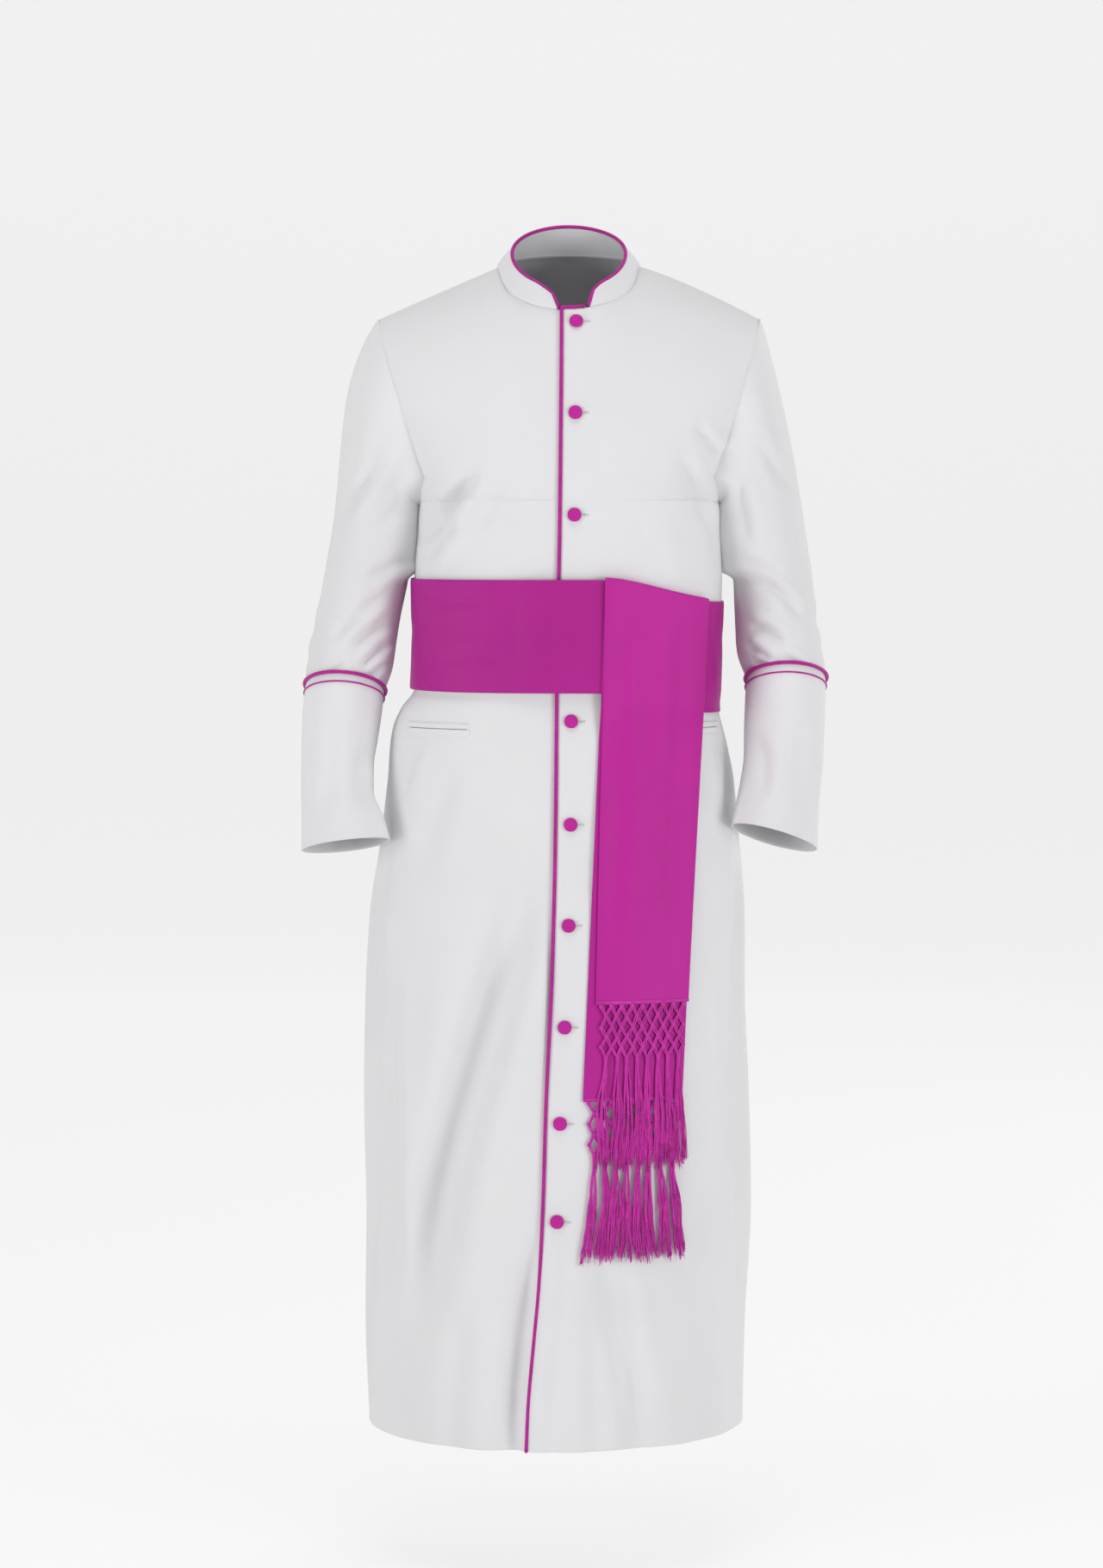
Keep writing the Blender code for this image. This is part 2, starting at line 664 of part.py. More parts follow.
def collar_angles():
    """Angles of the collar's columns, from its left end round the back to its right end.
    They stand above the columns of the panels that the collar is sewn to."""
    edge = math.asin(FRONT_EDGE[0].x / NECK_HALF_WIDTH)
    quarter = math.pi / 2
    over = spread(edge, quarter, NECK_COLUMNS)
    behind = spread(quarter, 3 * quarter, BACK_NECK_COLUMNS)
    under = spread(3 * quarter, math.tau + edge, UNDER_NECK_COLUMNS)
    first = math.radians(COLLAR_LEFT_END.base_deg)
    last = math.radians(360 + COLLAR_RIGHT_END.base_deg)
    margin = math.radians(COLLAR_END_MARGIN_DEG)
    between = [angle for angle in over + behind + under if first + margin < angle < last - margin]
    return [first] + between + [last]


def build_collar(white, magenta):
    """Stand collar whose ends stop at the notch, with piping round its rim and ends."""
    base_angles = collar_angles()
    first, last = base_angles[0], base_angles[-1]
    rim_first, rim_last = math.radians(COLLAR_LEFT_END.rim_deg), math.radians(360 + COLLAR_RIGHT_END.rim_deg)
    rows = [[] for _ in range(COLLAR_ROWS + 1)]
    for angle in base_angles:
        over_lap = 1 - smooth_ramp((math.degrees(angle) - COLLAR_LAP_DEG) / COLLAR_LAP_FADE_DEG)
        seam = neck_seam(angle)
        base = seam + Vector((0, 0, COLLAR_LIFT + COLLAR_LAP_LIFT * over_lap))
        base -= Vector((seam.x, seam.y, 0)).normalized() * COLLAR_INSET
        rim = rim_point(mix(rim_first, rim_last, (angle - first) / (last - first)))
        for i, row in enumerate(rows):
            row.append(mix(base, rim, i / COLLAR_ROWS))
    cloth_piece("collar", rows, white, COLLAR_CLOTH)

    normals = normals_of(rows)
    apart = PIPING_RADIUS + GAP
    middle = COLLAR_CLOTH / 2
    upward = [-vector for vector in beyond_edge(rows[-1], normals[-1])]
    sides = []
    for end, turn in ((0, -1), (-1, 1)):
        edge, edge_normals = [row[end] for row in rows], [row[end] for row in normals]
        away = [turn * vector for vector in beyond_edge(edge, edge_normals)]
        side = [point + off * apart + normal * middle for point, off, normal in zip(edge, away, edge_normals)]
        side[0] = mix(side[0], side[1], PIPING_END_SHARE)
        side[-1] += upward[end] * apart
        sides.append(side)
    rim_line = [point + up * apart + normal * middle for point, up, normal in zip(rows[-1], upward, normals[-1])]
    tube_piece("piping_collar", sides[0] + rim_line[1:-1] + sides[1][::-1], PIPING_RADIUS, magenta)


def build_front_piping(lifted, magenta):
    """Piping of the notch and of the over front's edge, down to the hem."""
    normals = normals_of(lifted)
    apart = PIPING_RADIUS + GAP
    line = []
    for row, row_normals in zip(lifted, normals):
        away = (row[0] - row[1]).normalized()
        line.append(row[0] + away * apart + row_normals[0] * PIPING_RADIUS)
    upward = (lifted[-1][0] - lifted[-2][0]).normalized()
    corner = line[-1] + upward * apart
    line[-1] = corner
    end = lifted[-1][1] + upward * apart + normals[-1][1] * PIPING_RADIUS
    line.append(mix(corner, end, NOTCH_PIPING_SHARE))
    tube_piece("piping_front", line, PIPING_RADIUS, magenta)


def button_mesh():
    """Domed covered button, its flat back at the origin and its face along +Z."""
    mesh = bmesh.new()
    loops = []
    for height, share in BUTTON_PROFILE:
        loop = []
        for k in range(BUTTON_SIDES):
            turn = math.tau * k / BUTTON_SIDES
            loop.append(mesh.verts.new((
                BUTTON_RADIUS * share * math.cos(turn),
                BUTTON_RADIUS * share * math.sin(turn),
                BUTTON_THICKNESS * height,
            )))
        loops.append(loop)
    mesh.faces.new(loops[0][::-1])
    for lower, upper in zip(loops, loops[1:]):
        for k in range(BUTTON_SIDES):
            after = (k + 1) % BUTTON_SIDES
            mesh.faces.new((lower[k], lower[after], upper[after], upper[k]))
    tip = mesh.verts.new((0, 0, BUTTON_THICKNESS))
    for k in range(BUTTON_SIDES):
        mesh.faces.new((loops[-1][k], loops[-1][(k + 1) % BUTTON_SIDES], tip))
    data = bpy.data.meshes.new("covered_button")
    mesh.to_mesh(data)
    mesh.free()
    data.shade_smooth()
    return data


def nearest_spot(rows, x, z):
    """Point and direction of a panel's outer face above a place of the front."""
    normals = normals_of(rows)
    best = None
    for i in range(len(rows) - 1):
        for j in range(len(rows[0]) - 1):
            low, high = rows[i][j], rows[i + 1][j + 1]
            if low.z <= z <= high.z and min(low.x, rows[i + 1][j].x) <= x <= max(high.x, rows[i][j + 1].x):
                up = (z - low.z) / (high.z - low.z)
                left = mix(rows[i][j], rows[i + 1][j], up)
                right = mix(rows[i][j + 1], rows[i + 1][j + 1], up)
                along = (x - left.x) / (right.x - left.x)
                if -EDGE_ALLOWANCE <= along <= 1 + EDGE_ALLOWANCE:
                    left_normal = mix(normals[i][j], normals[i + 1][j], up)
                    right_normal = mix(normals[i][j + 1], normals[i + 1][j + 1], up)
                    best = mix(left, right, along), mix(left_normal, right_normal, along).normalized()
    return best


def build_buttons(lifted, magenta):
    """Covered buttons down the front, above and below the band."""
    shape = button_mesh()
    for number, z in enumerate(BUTTON_HEIGHTS, start=1):
        x = at_height(FRONT_EDGE, z, "x") + BUTTON_INSET
        spot, normal = nearest_spot(lifted, x, z)
        button = add_object(f"button_{number:02d}", shape, magenta)
        button.location = spot + normal * (CLOTH + SPACE)
        button.rotation_euler = normal.to_track_quat("Z", "Y").to_euler()


def build_pockets(panels, white):
    """Jetted pocket openings: two narrow welts with a slit between them."""
    low = POCKET_Z - POCKET_HEIGHT / 2
    heights = (low, POCKET_Z - POCKET_SLIT / 2, POCKET_Z + POCKET_SLIT / 2, low + POCKET_HEIGHT)
    for side, (start, end) in POCKET_X.items():
        rows = []
        for z in heights:
            row = []
            for j in range(POCKET_COLUMNS + 1):
                spot, normal = nearest_spot(panels[side], mix(start, end, j / POCKET_COLUMNS), z)
                row.append(spot + normal * (CLOTH + 3 * SPACE))
            rows.append(row)
        slit = lambda i, j: i == 1 and 0 < j < POCKET_COLUMNS - 1
        cloth_piece(f"pocket_{'left' if side > 0 else 'right'}", rows, white, WELT_CLOTH, hole=slit)


def band_top(x):
    """Height of the band's top edge: level, then lower towards the wearer's left."""
    return BAND_TOP_Z - BAND_DROP * smooth_ramp((x - BAND_DROP_START_X) / 0.15)


def band_stand(face, x, z):
    """Distance from the robe's inner face to the band's inner face."""
    if face < 0:
        return CLOTH + BAND_SPACE
    from_button = abs(x - at_height(FRONT_EDGE, z, "x") - BUTTON_INSET)
    bridge = BAND_STAND_OFF * (1 - smooth_ramp((from_button - BAND_STAND_FLAT) / BAND_STAND_FADE))
    return CLOTH + lap_lift(x, z) + BAND_SPACE + bridge


def outer_columns(z):
    """Face and angle of each column of the robe's outermost panels, all round at a height."""
    edge, seam = over_edge(z), armhole_angle(z)
    columns = [(1, beta) for beta in under_columns(edge, seam)[: -LAP_COLUMNS - 1]]
    columns += [(1, beta) for beta in over_columns(edge, seam)]
    columns += [(-1, beta) for beta in back_columns(edge, seam)[-2:0:-1]]
    return columns


def build_band(magenta):
    """Waist band, stiff and closed round the waist."""
    rows = []
    for up in BAND_ROW_SHARES:
        row = []
        for j, (face, beta) in enumerate(outer_columns(BAND_TOP_Z)):
            x = body_point(face, beta, BAND_TOP_Z, False).x
            z = band_top(x) - BAND_WIDTH * (1 - up)
            beta = outer_columns(z)[j][1]
            x = body_point(face, beta, z, False).x
            row.append(outside_body(face, beta, z, band_stand(face, x, z), False))
        rows.append(row)
    cloth_piece("band", rows, magenta, BAND_CLOTH, closed=True)


def fall_point(layer, x, z, extra=0.0):
    """Point of the inner face of a fall or fringe hanging in front of the skirt."""
    band_low = band_top(x) - BAND_WIDTH
    on_band = band_stand(1, x, z) + BAND_CLOTH + SPACE
    offset = mix(FALL_OFFSET, on_band, smooth_ramp((z - band_low + FALL_EASE_START) / FALL_EASE_LENGTH))
    return outside_body(1, angle_at_x(z, x), z, offset + layer * FALL_LAYER + extra, False)


def fall_edge(fall, z, side):
    """X of a fall's edge at a height."""
    share = (BAND_TOP_Z - z) / (BAND_TOP_Z - fall.low_z)
    if side < 0:
        return mix(fall.top_left, fall.low_left, share)
    return mix(fall.top_right, fall.low_right, share)


def build_falls(magenta):
    """The two falls, tucked over the band's top edge and hanging in front of the skirt."""
    for name, fall in FALLS.items():
        rows = []
        for i in range(FALL_ROWS + 1):
            row = []
            for j in range(FALL_COLUMNS + 1):
                across = j / FALL_COLUMNS
                top_x = mix(fall.top_left, fall.top_right, across)
                top_z = band_top(top_x) + SPACE + fall.layer * FALL_LAYER
                z = mix(top_z, FALLS["upper"].low_z, i / FALL_ROWS)
                x = mix(fall_edge(fall, z, -1), fall_edge(fall, z, 1), across)
                row.append(fall_point(fall.layer, x, z))
            rows.append(row)
        if fall.low_z < FALLS["upper"].low_z:
            for i in range(1, LONGER_FALL_ROWS + 1):
                z = mix(FALLS["upper"].low_z, fall.low_z, i / LONGER_FALL_ROWS)
                ends = fall_edge(fall, z, -1), fall_edge(fall, z, 1)
                rows.append([fall_point(fall.layer, mix(*ends, j / FALL_COLUMNS), z) for j in range(FALL_COLUMNS + 1)])
        lip = [point + Vector((0, BAND_CLOTH + SPACE, 0)) for point in rows[0]]
        rows.insert(0, lip)
        cloth_piece(f"fall_{name}", rows, magenta, FALL_CLOTH, flip=True)


def flat_outline(curve, points):
    """One closed outline of a flat shape."""
    line = curve.splines.new("POLY")
    line.points.add(len(points) - 1)
    for spot, (u, v) in zip(line.points, points):
        spot.co = (u, v, 0.0, 1.0)
    line.use_cyclic_u = True


def fringe_outline(width, lock_drop, tip_spread):
    """Outer outline of a fringe: heading, net edges, gathers and their locks."""
    pitch = width / NET_KNOTS
    net_low = -HEADING - NET_HEIGHT
    gathers = [pitch * (k + 1) for k in range(NET_KNOTS - 1)]
    points = [(0.0, 0.0), (0.0, -HEADING), (pitch * NET_CORNER_SHARE, -HEADING - NET_CORNER_DROP)]
    step = NET_HEIGHT / NET_LEVELS
    for level in range(1, NET_LEVELS):
        edge = pitch * (0.5 if level % 2 == 0 else 1.0) - NET_EDGE
        points.append((edge, -HEADING - step * level))
    for number, middle in enumerate(gathers):
        points.append((middle - NET_EDGE, net_low))
        for lock in range(LOCKS_PER_GATHER):
            share = (lock + 0.5) / LOCKS_PER_GATHER - 0.5
            root = middle + share * pitch * LOCK_ROOT_SHARE
            tip = middle + share * pitch * LOCK_TIP_SHARE + (middle / width - 0.5) * tip_spread
            reach = lock_drop * (1 - LOCK_SWING * (1 - math.cos(2.4 * number + 1.7 * lock)))
            points.append((root - LOCK_WIDTH / 2, net_low - TASSEL_ROOT))
            points.append((tip - LOCK_WIDTH / 2, net_low - reach))
            points.append((tip + LOCK_WIDTH / 2, net_low - reach))
            points.append((root + LOCK_WIDTH / 2, net_low - TASSEL_ROOT))
            if lock < LOCKS_PER_GATHER - 1:
                points.append((root + pitch * LOCK_SPLIT_SHARE, net_low - TASSEL_NECK))
        points.append((middle + NET_EDGE, net_low))
        if number < len(gathers) - 1:
            points.append((middle + pitch / 2, net_low + step - NET_VALLEY))
    for level in range(NET_LEVELS - 1, 0, -1):
        edge = width - pitch * (0.5 if level % 2 == 0 else 1.0) + NET_EDGE
        points.append((edge, -HEADING - step * level))
    points += [(width - pitch * NET_CORNER_SHARE, -HEADING - NET_CORNER_DROP), (width, -HEADING), (width, 0.0)]
    points += [(pitch * k, 0.0) for k in range(NET_KNOTS - 1, 0, -1)]
    return points


def net_holes(width):
    """Outlines of the net's open diamonds."""
    pitch = width / NET_KNOTS
    step = NET_HEIGHT / NET_LEVELS
    holes = []
    for level in range(1, NET_LEVELS):
        if level % 2:
            count, start = NET_KNOTS - 2, pitch * 1.5
        else:
            count, start = NET_KNOTS - 1, pitch
        half_wide, half_high = pitch / 2 - HOLE_SIDE, step - NET_VALLEY
        for k in range(count):
            u, v = start + pitch * k, -HEADING - step * level
            holes.append([(u - half_wide, v), (u, v + half_high), (u + half_wide, v), (u, v - half_high)])
    return holes


def build_fringe(name, thread):
    """Fringe of one fall: a flat knotted net cut through, with hanging locks."""
    fall = FALLS[name]
    top_z = fall.low_z - FRINGE_GAP
    left, right = fall_edge(fall, top_z, -1), fall_edge(fall, top_z, 1)
    width = right - left
    curve = bpy.data.curves.new(f"fringe_{name}", "CURVE")
    curve.dimensions = "2D"
    curve.fill_mode = "BOTH"
    curve.extrude = FRINGE_DEPTH / 2
    flat_outline(curve, fringe_outline(width, LOCK_DROP[name], TIP_SPREAD[name]))
    for hole in net_holes(width):
        flat_outline(curve, hole)
    guide = bpy.data.objects.new("fringe_guide", curve)
    bpy.context.scene.collection.objects.link(guide)
    bpy.context.view_layer.update()
    solid = bpy.data.meshes.new_from_object(guide.evaluated_get(bpy.context.evaluated_depsgraph_get()))
    bpy.data.objects.remove(guide, do_unlink=True)

    shape = bmesh.new()
    shape.from_mesh(solid)
    bmesh.ops.remove_doubles(shape, verts=shape.verts, dist=0.00001)
    flat = [face for face in shape.faces if abs(face.normal.z) > 0.5]
    inner = [edge for edge in shape.edges if all(abs(face.normal.z) > 0.5 for face in edge.link_faces)]
    bmesh.ops.beautify_fill(shape, faces=flat, edges=inner)
    for vert in shape.verts:
        u, v, depth = vert.co
        vert.co = fall_point(fall.layer, left + u, top_z + v, FRINGE_DEPTH / 2 + depth)
    bmesh.ops.recalc_face_normals(shape, faces=shape.faces)
    shape.to_mesh(solid)
    shape.free()
    add_object(f"fringe_{name}", solid, thread)


def build():
    """Make every piece of the robe."""
    clear_scene()
    collection_named("clergy_robe")
    white = cloth_material("robe cloth", WHITE, 0.8)
    magenta = cloth_material("magenta satin", MAGENTA, 0.5)
    thread = cloth_material("fringe thread", DEEP_MAGENTA, 0.6)

    over, lifted, under = build_fronts(white)
    back = build_back(white)
    for side, front, column in ((1, over, -1), (-1, under, 0)):
        loop = armhole_line(front, back, column)
        panel_normals = armhole_line(normals_of(front), normals_of(back, flip=True), column)
        angles = build_sleeve(side, loop, panel_normals, white)
        build_cuff_piping(side, angles, magenta)
    build_collar(white, magenta)
    build_front_piping(lifted, magenta)
    build_buttons(lifted, magenta)
    build_pockets({1: lifted, -1: under}, white)
    build_band(magenta)
    build_falls(magenta)
    for name in FALLS:
        build_fringe(name, thread)


build()
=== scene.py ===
# A white clergy robe with covered buttons, deep piped cuffs and a fringed waist band.
# Units are metres. Z is up, the front faces -Y and the wearer's left side is at +X.
import math
from collections import namedtuple

import bpy
import numpy as np
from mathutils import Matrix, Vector
from mathutils.bvhtree import BVHTree


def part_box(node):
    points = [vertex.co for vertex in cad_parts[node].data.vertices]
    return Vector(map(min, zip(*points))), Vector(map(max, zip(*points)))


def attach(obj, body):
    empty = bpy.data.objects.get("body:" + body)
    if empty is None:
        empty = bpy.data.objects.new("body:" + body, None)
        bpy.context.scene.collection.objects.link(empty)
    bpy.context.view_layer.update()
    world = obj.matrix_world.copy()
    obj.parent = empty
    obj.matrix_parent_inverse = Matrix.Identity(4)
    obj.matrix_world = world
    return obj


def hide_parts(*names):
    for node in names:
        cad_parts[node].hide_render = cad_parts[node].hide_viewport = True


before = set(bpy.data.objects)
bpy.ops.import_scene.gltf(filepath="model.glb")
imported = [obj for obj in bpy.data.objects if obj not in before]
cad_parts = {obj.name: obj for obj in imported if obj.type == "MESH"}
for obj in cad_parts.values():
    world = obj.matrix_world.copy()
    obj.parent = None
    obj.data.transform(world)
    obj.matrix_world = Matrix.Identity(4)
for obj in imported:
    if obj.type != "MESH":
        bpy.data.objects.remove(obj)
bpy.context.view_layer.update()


# Front panels
# Each front is cut in one piece from shoulder to hem, in a smooth white suiting. The wearer's
# left front laps over the right one. Seams are pressed open, so the cloth dips along them.
WHITE = (0.755, 0.755, 0.768)
LINING_WHITE = (0.64, 0.64, 0.66)
CLOTH = 0.0016
HEM_Z = -1.329
SIDE_TOP_Z = -0.262
CHEST_Z = -0.235
NECK_HALF_WIDTH = 0.081
NECK_FRONT = 0.078
NECK_BACK = 0.066
NECK_SIDE_Z = 0.004
NECK_FRONT_DROP = 0.051
NECK_BACK_RISE = 0.016
NECK_CURVE = 0.85
SHOULDER_X = 0.2205
ARMHOLE_ANGLE = math.radians(70)
ARMHOLE_FULLNESS = 0.012
NECK_SHARE = 0.577
SHOULDER_FALL = {1: 0.32, -1: 0.42}
SHOULDER_CURVE = {1: 0.80, -1: 0.10}
YokeForm = namedtuple("YokeForm", "bend roll")
YOKE_MIDDLE = {1: YokeForm(2.2, 1.0), -1: YokeForm(2.6, 0.8)}
YOKE_SHOULDER = YokeForm(2.5, 0.62)
YOKE_LEAN = 0.12
LAP_LIFT = 0.0019
LAP_FLAT = 0.046
LAP_FADE = 0.050
TUCK_SHARE = 0.25
TUCK_FADE = 0.010
TUCK_SINK = 0.0006
SEAM_DIP = 0.0007
SEAM_DIP_WIDTH = 0.0034
HEM_DEPTH = 0.038
HEM_DENT = 0.00035
HEM_DENT_WIDTH = 0.0016
HEM_ROUND = 0.0005
HEM_ROUND_LENGTH = 0.006
WEAVE_PITCH = 0.0011

Section = namedtuple("Section", "height half_width front back centre_x power")
BODY = (
    Section(-0.235, 0.1700, 0.1160, 0.1120, 0.0000, 3.10),
    Section(-0.300, 0.1735, 0.1200, 0.1080, 0.0000, 2.80),
    Section(-0.354, 0.1750, 0.1220, 0.1040, -0.0005, 2.55),
    Section(-0.420, 0.1735, 0.1235, 0.1020, -0.0010, 2.40),
    Section(-0.480, 0.1740, 0.1250, 0.1060, -0.0030, 2.35),
    Section(-0.502, 0.1810, 0.1280, 0.1110, -0.0110, 2.30),
    Section(-0.522, 0.1880, 0.1320, 0.1170, -0.0130, 2.30),
    Section(-0.545, 0.1930, 0.1360, 0.1230, -0.0120, 2.25),
    Section(-0.585, 0.1985, 0.1400, 0.1310, -0.0095, 2.25),
    Section(-0.650, 0.2045, 0.1450, 0.1410, -0.0100, 2.20),
    Section(-0.742, 0.2130, 0.1520, 0.1500, -0.0135, 2.20),
    Section(-0.850, 0.2160, 0.1600, 0.1580, -0.0165, 2.20),
    Section(-0.950, 0.2195, 0.1680, 0.1660, -0.0155, 2.15),
    Section(-1.080, 0.2210, 0.1780, 0.1770, -0.0125, 2.15),
    Section(-1.220, 0.2190, 0.1890, 0.1880, -0.0155, 2.10),
    Section(-1.329, 0.2155, 0.1980, 0.1980, -0.0145, 2.10),
)
EdgePoint = namedtuple("EdgePoint", "height x")
FRONT_EDGE = (
    EdgePoint(-0.047, -0.0066),
    EdgePoint(-0.300, -0.0090),
    EdgePoint(-0.420, -0.0115),
    EdgePoint(-0.670, -0.0140),
    EdgePoint(-0.785, -0.0170),
    EdgePoint(-0.947, -0.0245),
    EdgePoint(-1.050, -0.0275),
    EdgePoint(-1.147, -0.0325),
    EdgePoint(-1.213, -0.0380),
    EdgePoint(-1.280, -0.0435),
    EdgePoint(-1.329, -0.0455),
)
# The largest folds, by height and degrees from the middle of the front; troughs are negative
Fold = namedtuple("Fold", "top_z top_deg low_z low_deg width depth")
FOLDS = (
    Fold(-0.590, -10, -1.260, -55, 0.030, -0.0115),
    Fold(-0.700, -35, -1.300, -68, 0.036, 0.0055),
    Fold(-0.640, -74, -1.300, -80, 0.020, -0.0045),
    Fold(-1.100, -14, -1.420, -15, 0.020, -0.0064),
    Fold(-1.080, 18, -1.400, 24, 0.022, -0.0044),
    Fold(-1.120, 34, -1.420, 37, 0.022, -0.0052),
    Fold(-0.760, 62, -1.420, 68, 0.030, -0.0045),
    Fold(-0.215, -46, -0.320, -66, 0.014, -0.0035),
    Fold(-0.560, 148, -1.420, 138, 0.032, -0.0090),
    Fold(-0.600, 168, -1.420, 164, 0.032, 0.0062),
    Fold(-0.560, 188, -1.420, 193, 0.028, -0.0098),
    Fold(-0.620, 214, -1.420, 224, 0.032, 0.0066),
    Fold(-0.700, 238, -1.420, 246, 0.028, -0.0082),
    Fold(-0.240, 158, -0.360, 176, 0.022, -0.0030),
)
# Smaller creases, each drawn as seen from one side: (across, height) along its length
Crease = namedtuple("Crease", "seen path width depth ridge")
FRONT_CREASES = (
    Crease("front", [(-0.102, -0.220), (-0.127, -0.257), (-0.149, -0.288), (-0.170, -0.322)],
           0.0095, 0.0064, 0.6),
    Crease("front", [(-0.120, -0.280), (-0.145, -0.310), (-0.170, -0.338)], 0.0080, 0.0040, 0.6),
    Crease("front", [(-0.078, -0.232), (-0.092, -0.268), (-0.112, -0.300)], 0.0100, 0.0014, 0.4),
    Crease("front", [(-0.150, -0.262), (-0.160, -0.288), (-0.170, -0.318)], 0.0055, 0.0016, 0.5),
    Crease("front", [(0.140, -0.176), (0.156, -0.194), (0.172, -0.214)], 0.0060, 0.0022, 0.6),
    Crease("front", [(0.120, -0.206), (0.142, -0.246), (0.160, -0.300)], 0.0090, 0.0026, 0.5),
    Crease("front", [(0.152, -0.262), (0.164, -0.300), (0.168, -0.344)], 0.0065, 0.0018, 0.5),
    Crease("front", [(0.070, -0.286), (0.094, -0.318), (0.112, -0.352)], 0.0110, 0.0010, 0.3),
    Crease("front", [(-0.038, -0.650), (-0.062, -0.745), (-0.084, -0.823), (-0.106, -0.896),
                     (-0.127, -0.969), (-0.146, -1.045), (-0.160, -1.130), (-0.172, -1.220)],
           0.0230, 0.0100, 0.35),
    Crease("front", [(-0.124, -0.560), (-0.150, -0.620), (-0.172, -0.700)], 0.0130, 0.0016, 0.4),
    Crease("front", [(-0.166, -0.528), (-0.182, -0.566), (-0.196, -0.620)], 0.0075, 0.0022, 0.6),
    Crease("front", [(0.128, -0.560), (0.152, -0.610), (0.170, -0.680)], 0.0120, 0.0016, 0.4),
    Crease("front", [(0.164, -0.530), (0.180, -0.570), (0.188, -0.640)], 0.0080, 0.0022, 0.5),
    Crease("front", [(-0.198, -0.720), (-0.204, -0.880), (-0.200, -1.060), (-0.196, -1.200)],
           0.0100, 0.0034, 0.7),
    Crease("front", [(-0.038, -1.060), (-0.048, -1.160), (-0.058, -1.260), (-0.066, -1.400)],
           0.0120, 0.0048, 0.5),
    Crease("front", [(-0.012, -1.200), (-0.016, -1.280), (-0.022, -1.400)], 0.0120, 0.0013, 0.4),
    Crease("front", [(0.020, -1.130), (0.028, -1.230), (0.034, -1.400)], 0.0130, 0.0020, 0.4),
    Crease("front", [(0.036, -1.100), (0.052, -1.180), (0.070, -1.260), (0.088, -1.400)],
           0.0160, 0.0058, 0.4),
    Crease("front", [(0.130, -1.060), (0.140, -1.190), (0.150, -1.400)], 0.0160, 0.0026, 0.5),
    Crease("front", [(-0.120, -1.160), (-0.128, -1.250), (-0.140, -1.400)], 0.0150, 0.0018, 0.4),
    Crease("front", [(0.168, -0.760), (0.178, -0.920), (0.182, -1.080)], 0.0120, 0.0028, 0.5),
    Crease("front", [(0.012, -0.560), (0.018, -0.640), (0.020, -0.740)], 0.0130, 0.0010, 0.3),
    Crease("front", [(-0.040, -0.540), (-0.046, -0.610), (-0.058, -0.700)], 0.0140, 0.0012, 0.3),
    Crease("right", [(-0.030, -0.560), (-0.046, -0.760), (-0.058, -1.000), (-0.064, -1.250)],
           0.0160, 0.0030, 0.5),
    Crease("left", [(-0.026, -0.580), (-0.050, -0.800), (-0.060, -1.040), (-0.058, -1.290)],
           0.0160, 0.0034, 0.5),
)
SEEN = {
    "front": (0, 2, (0.0, -1.0, 0.0)),
    "back": (0, 2, (0.0, 1.0, 0.0)),
    "left": (1, 2, (1.0, 0.0, 0.0)),
    "right": (1, 2, (-1.0, 0.0, 0.0)),
}
OVER_COLUMNS = (46, 30)
UNDER_COLUMNS = (30, 42, 16)
SKIRT_ROWS = 292
ARMHOLE_ROWS = 9
YOKE_ROWS = 62
ARMHOLE_SPACING = 1.7
YOKE_SPACING = 1.5
ANGLE_STEPS = 36
SHOULDER_EASING = 150
EASING_ROWS = 26
EASING_PEAK = 1.3
EASING_WIDTH = 0.42
EASING_FADE = 0.06
FOLD_FADE_TOP = 0.3
FOLD_FADE_LOW = 0.25
CREASE_STRENGTH = 2.1
CREASE_FADE = 0.32
RIDGE_PLACE = 1.8
RIDGE_WIDTH = 1.1
GRAZING = 0.35


def ramp(value):
    """Ease from 0 to 1 without corners."""
    value = np.clip(value, 0.0, 1.0)
    return value * value * (3 - 2 * value)


def between(first, last, share):
    return first + (last - first) * share


def unit(vectors):
    return vectors / np.maximum(np.linalg.norm(vectors, axis=-1, keepdims=True), 1e-12)


def table_at(table, column, height):
    """Read a column of a table at heights, on a smooth curve through its rows."""
    rows = sorted(table, key=lambda row: row.height)
    heights = np.array([row.height for row in rows])
    values = np.array([getattr(row, column) for row in rows], dtype=float)
    height = np.clip(height, heights[0], heights[-1])
    low = np.clip(np.searchsorted(heights, height, side="right") - 1, 0, len(rows) - 2)
    slopes = np.diff(values) / np.diff(heights)
    tangents = np.zeros(len(rows))
    tangents[0], tangents[-1] = slopes[0], slopes[-1]
    for i in range(1, len(rows) - 1):
        if slopes[i - 1] * slopes[i] > 0:
            tangents[i] = 2 * slopes[i - 1] * slopes[i] / (slopes[i - 1] + slopes[i])
    span = heights[low + 1] - heights[low]
    t = (height - heights[low]) / span
    return (
        (2 * t**3 - 3 * t**2 + 1) * values[low] + (t**3 - 2 * t**2 + t) * tangents[low] * span
        + (3 * t**2 - 2 * t**3) * values[low + 1] + (t**3 - t**2) * tangents[low + 1] * span
    )


def fold_relief(theta, z, radius):
    """How far the largest folds push the cloth out or in."""
    total = np.zeros_like(radius)
    for fold in FOLDS:
        along = (fold.top_z - z) / (fold.top_z - fold.low_z)
        middle = np.radians(between(fold.top_deg, fold.low_deg, along))
        away = (theta - middle + np.pi) % (2 * np.pi) - np.pi
        across = np.exp(-((away * radius / fold.width) ** 2))
        total += (
            fold.depth * across
            * ramp(along / FOLD_FADE_TOP) * ramp((1 - along) / FOLD_FADE_LOW)
        )
    return total


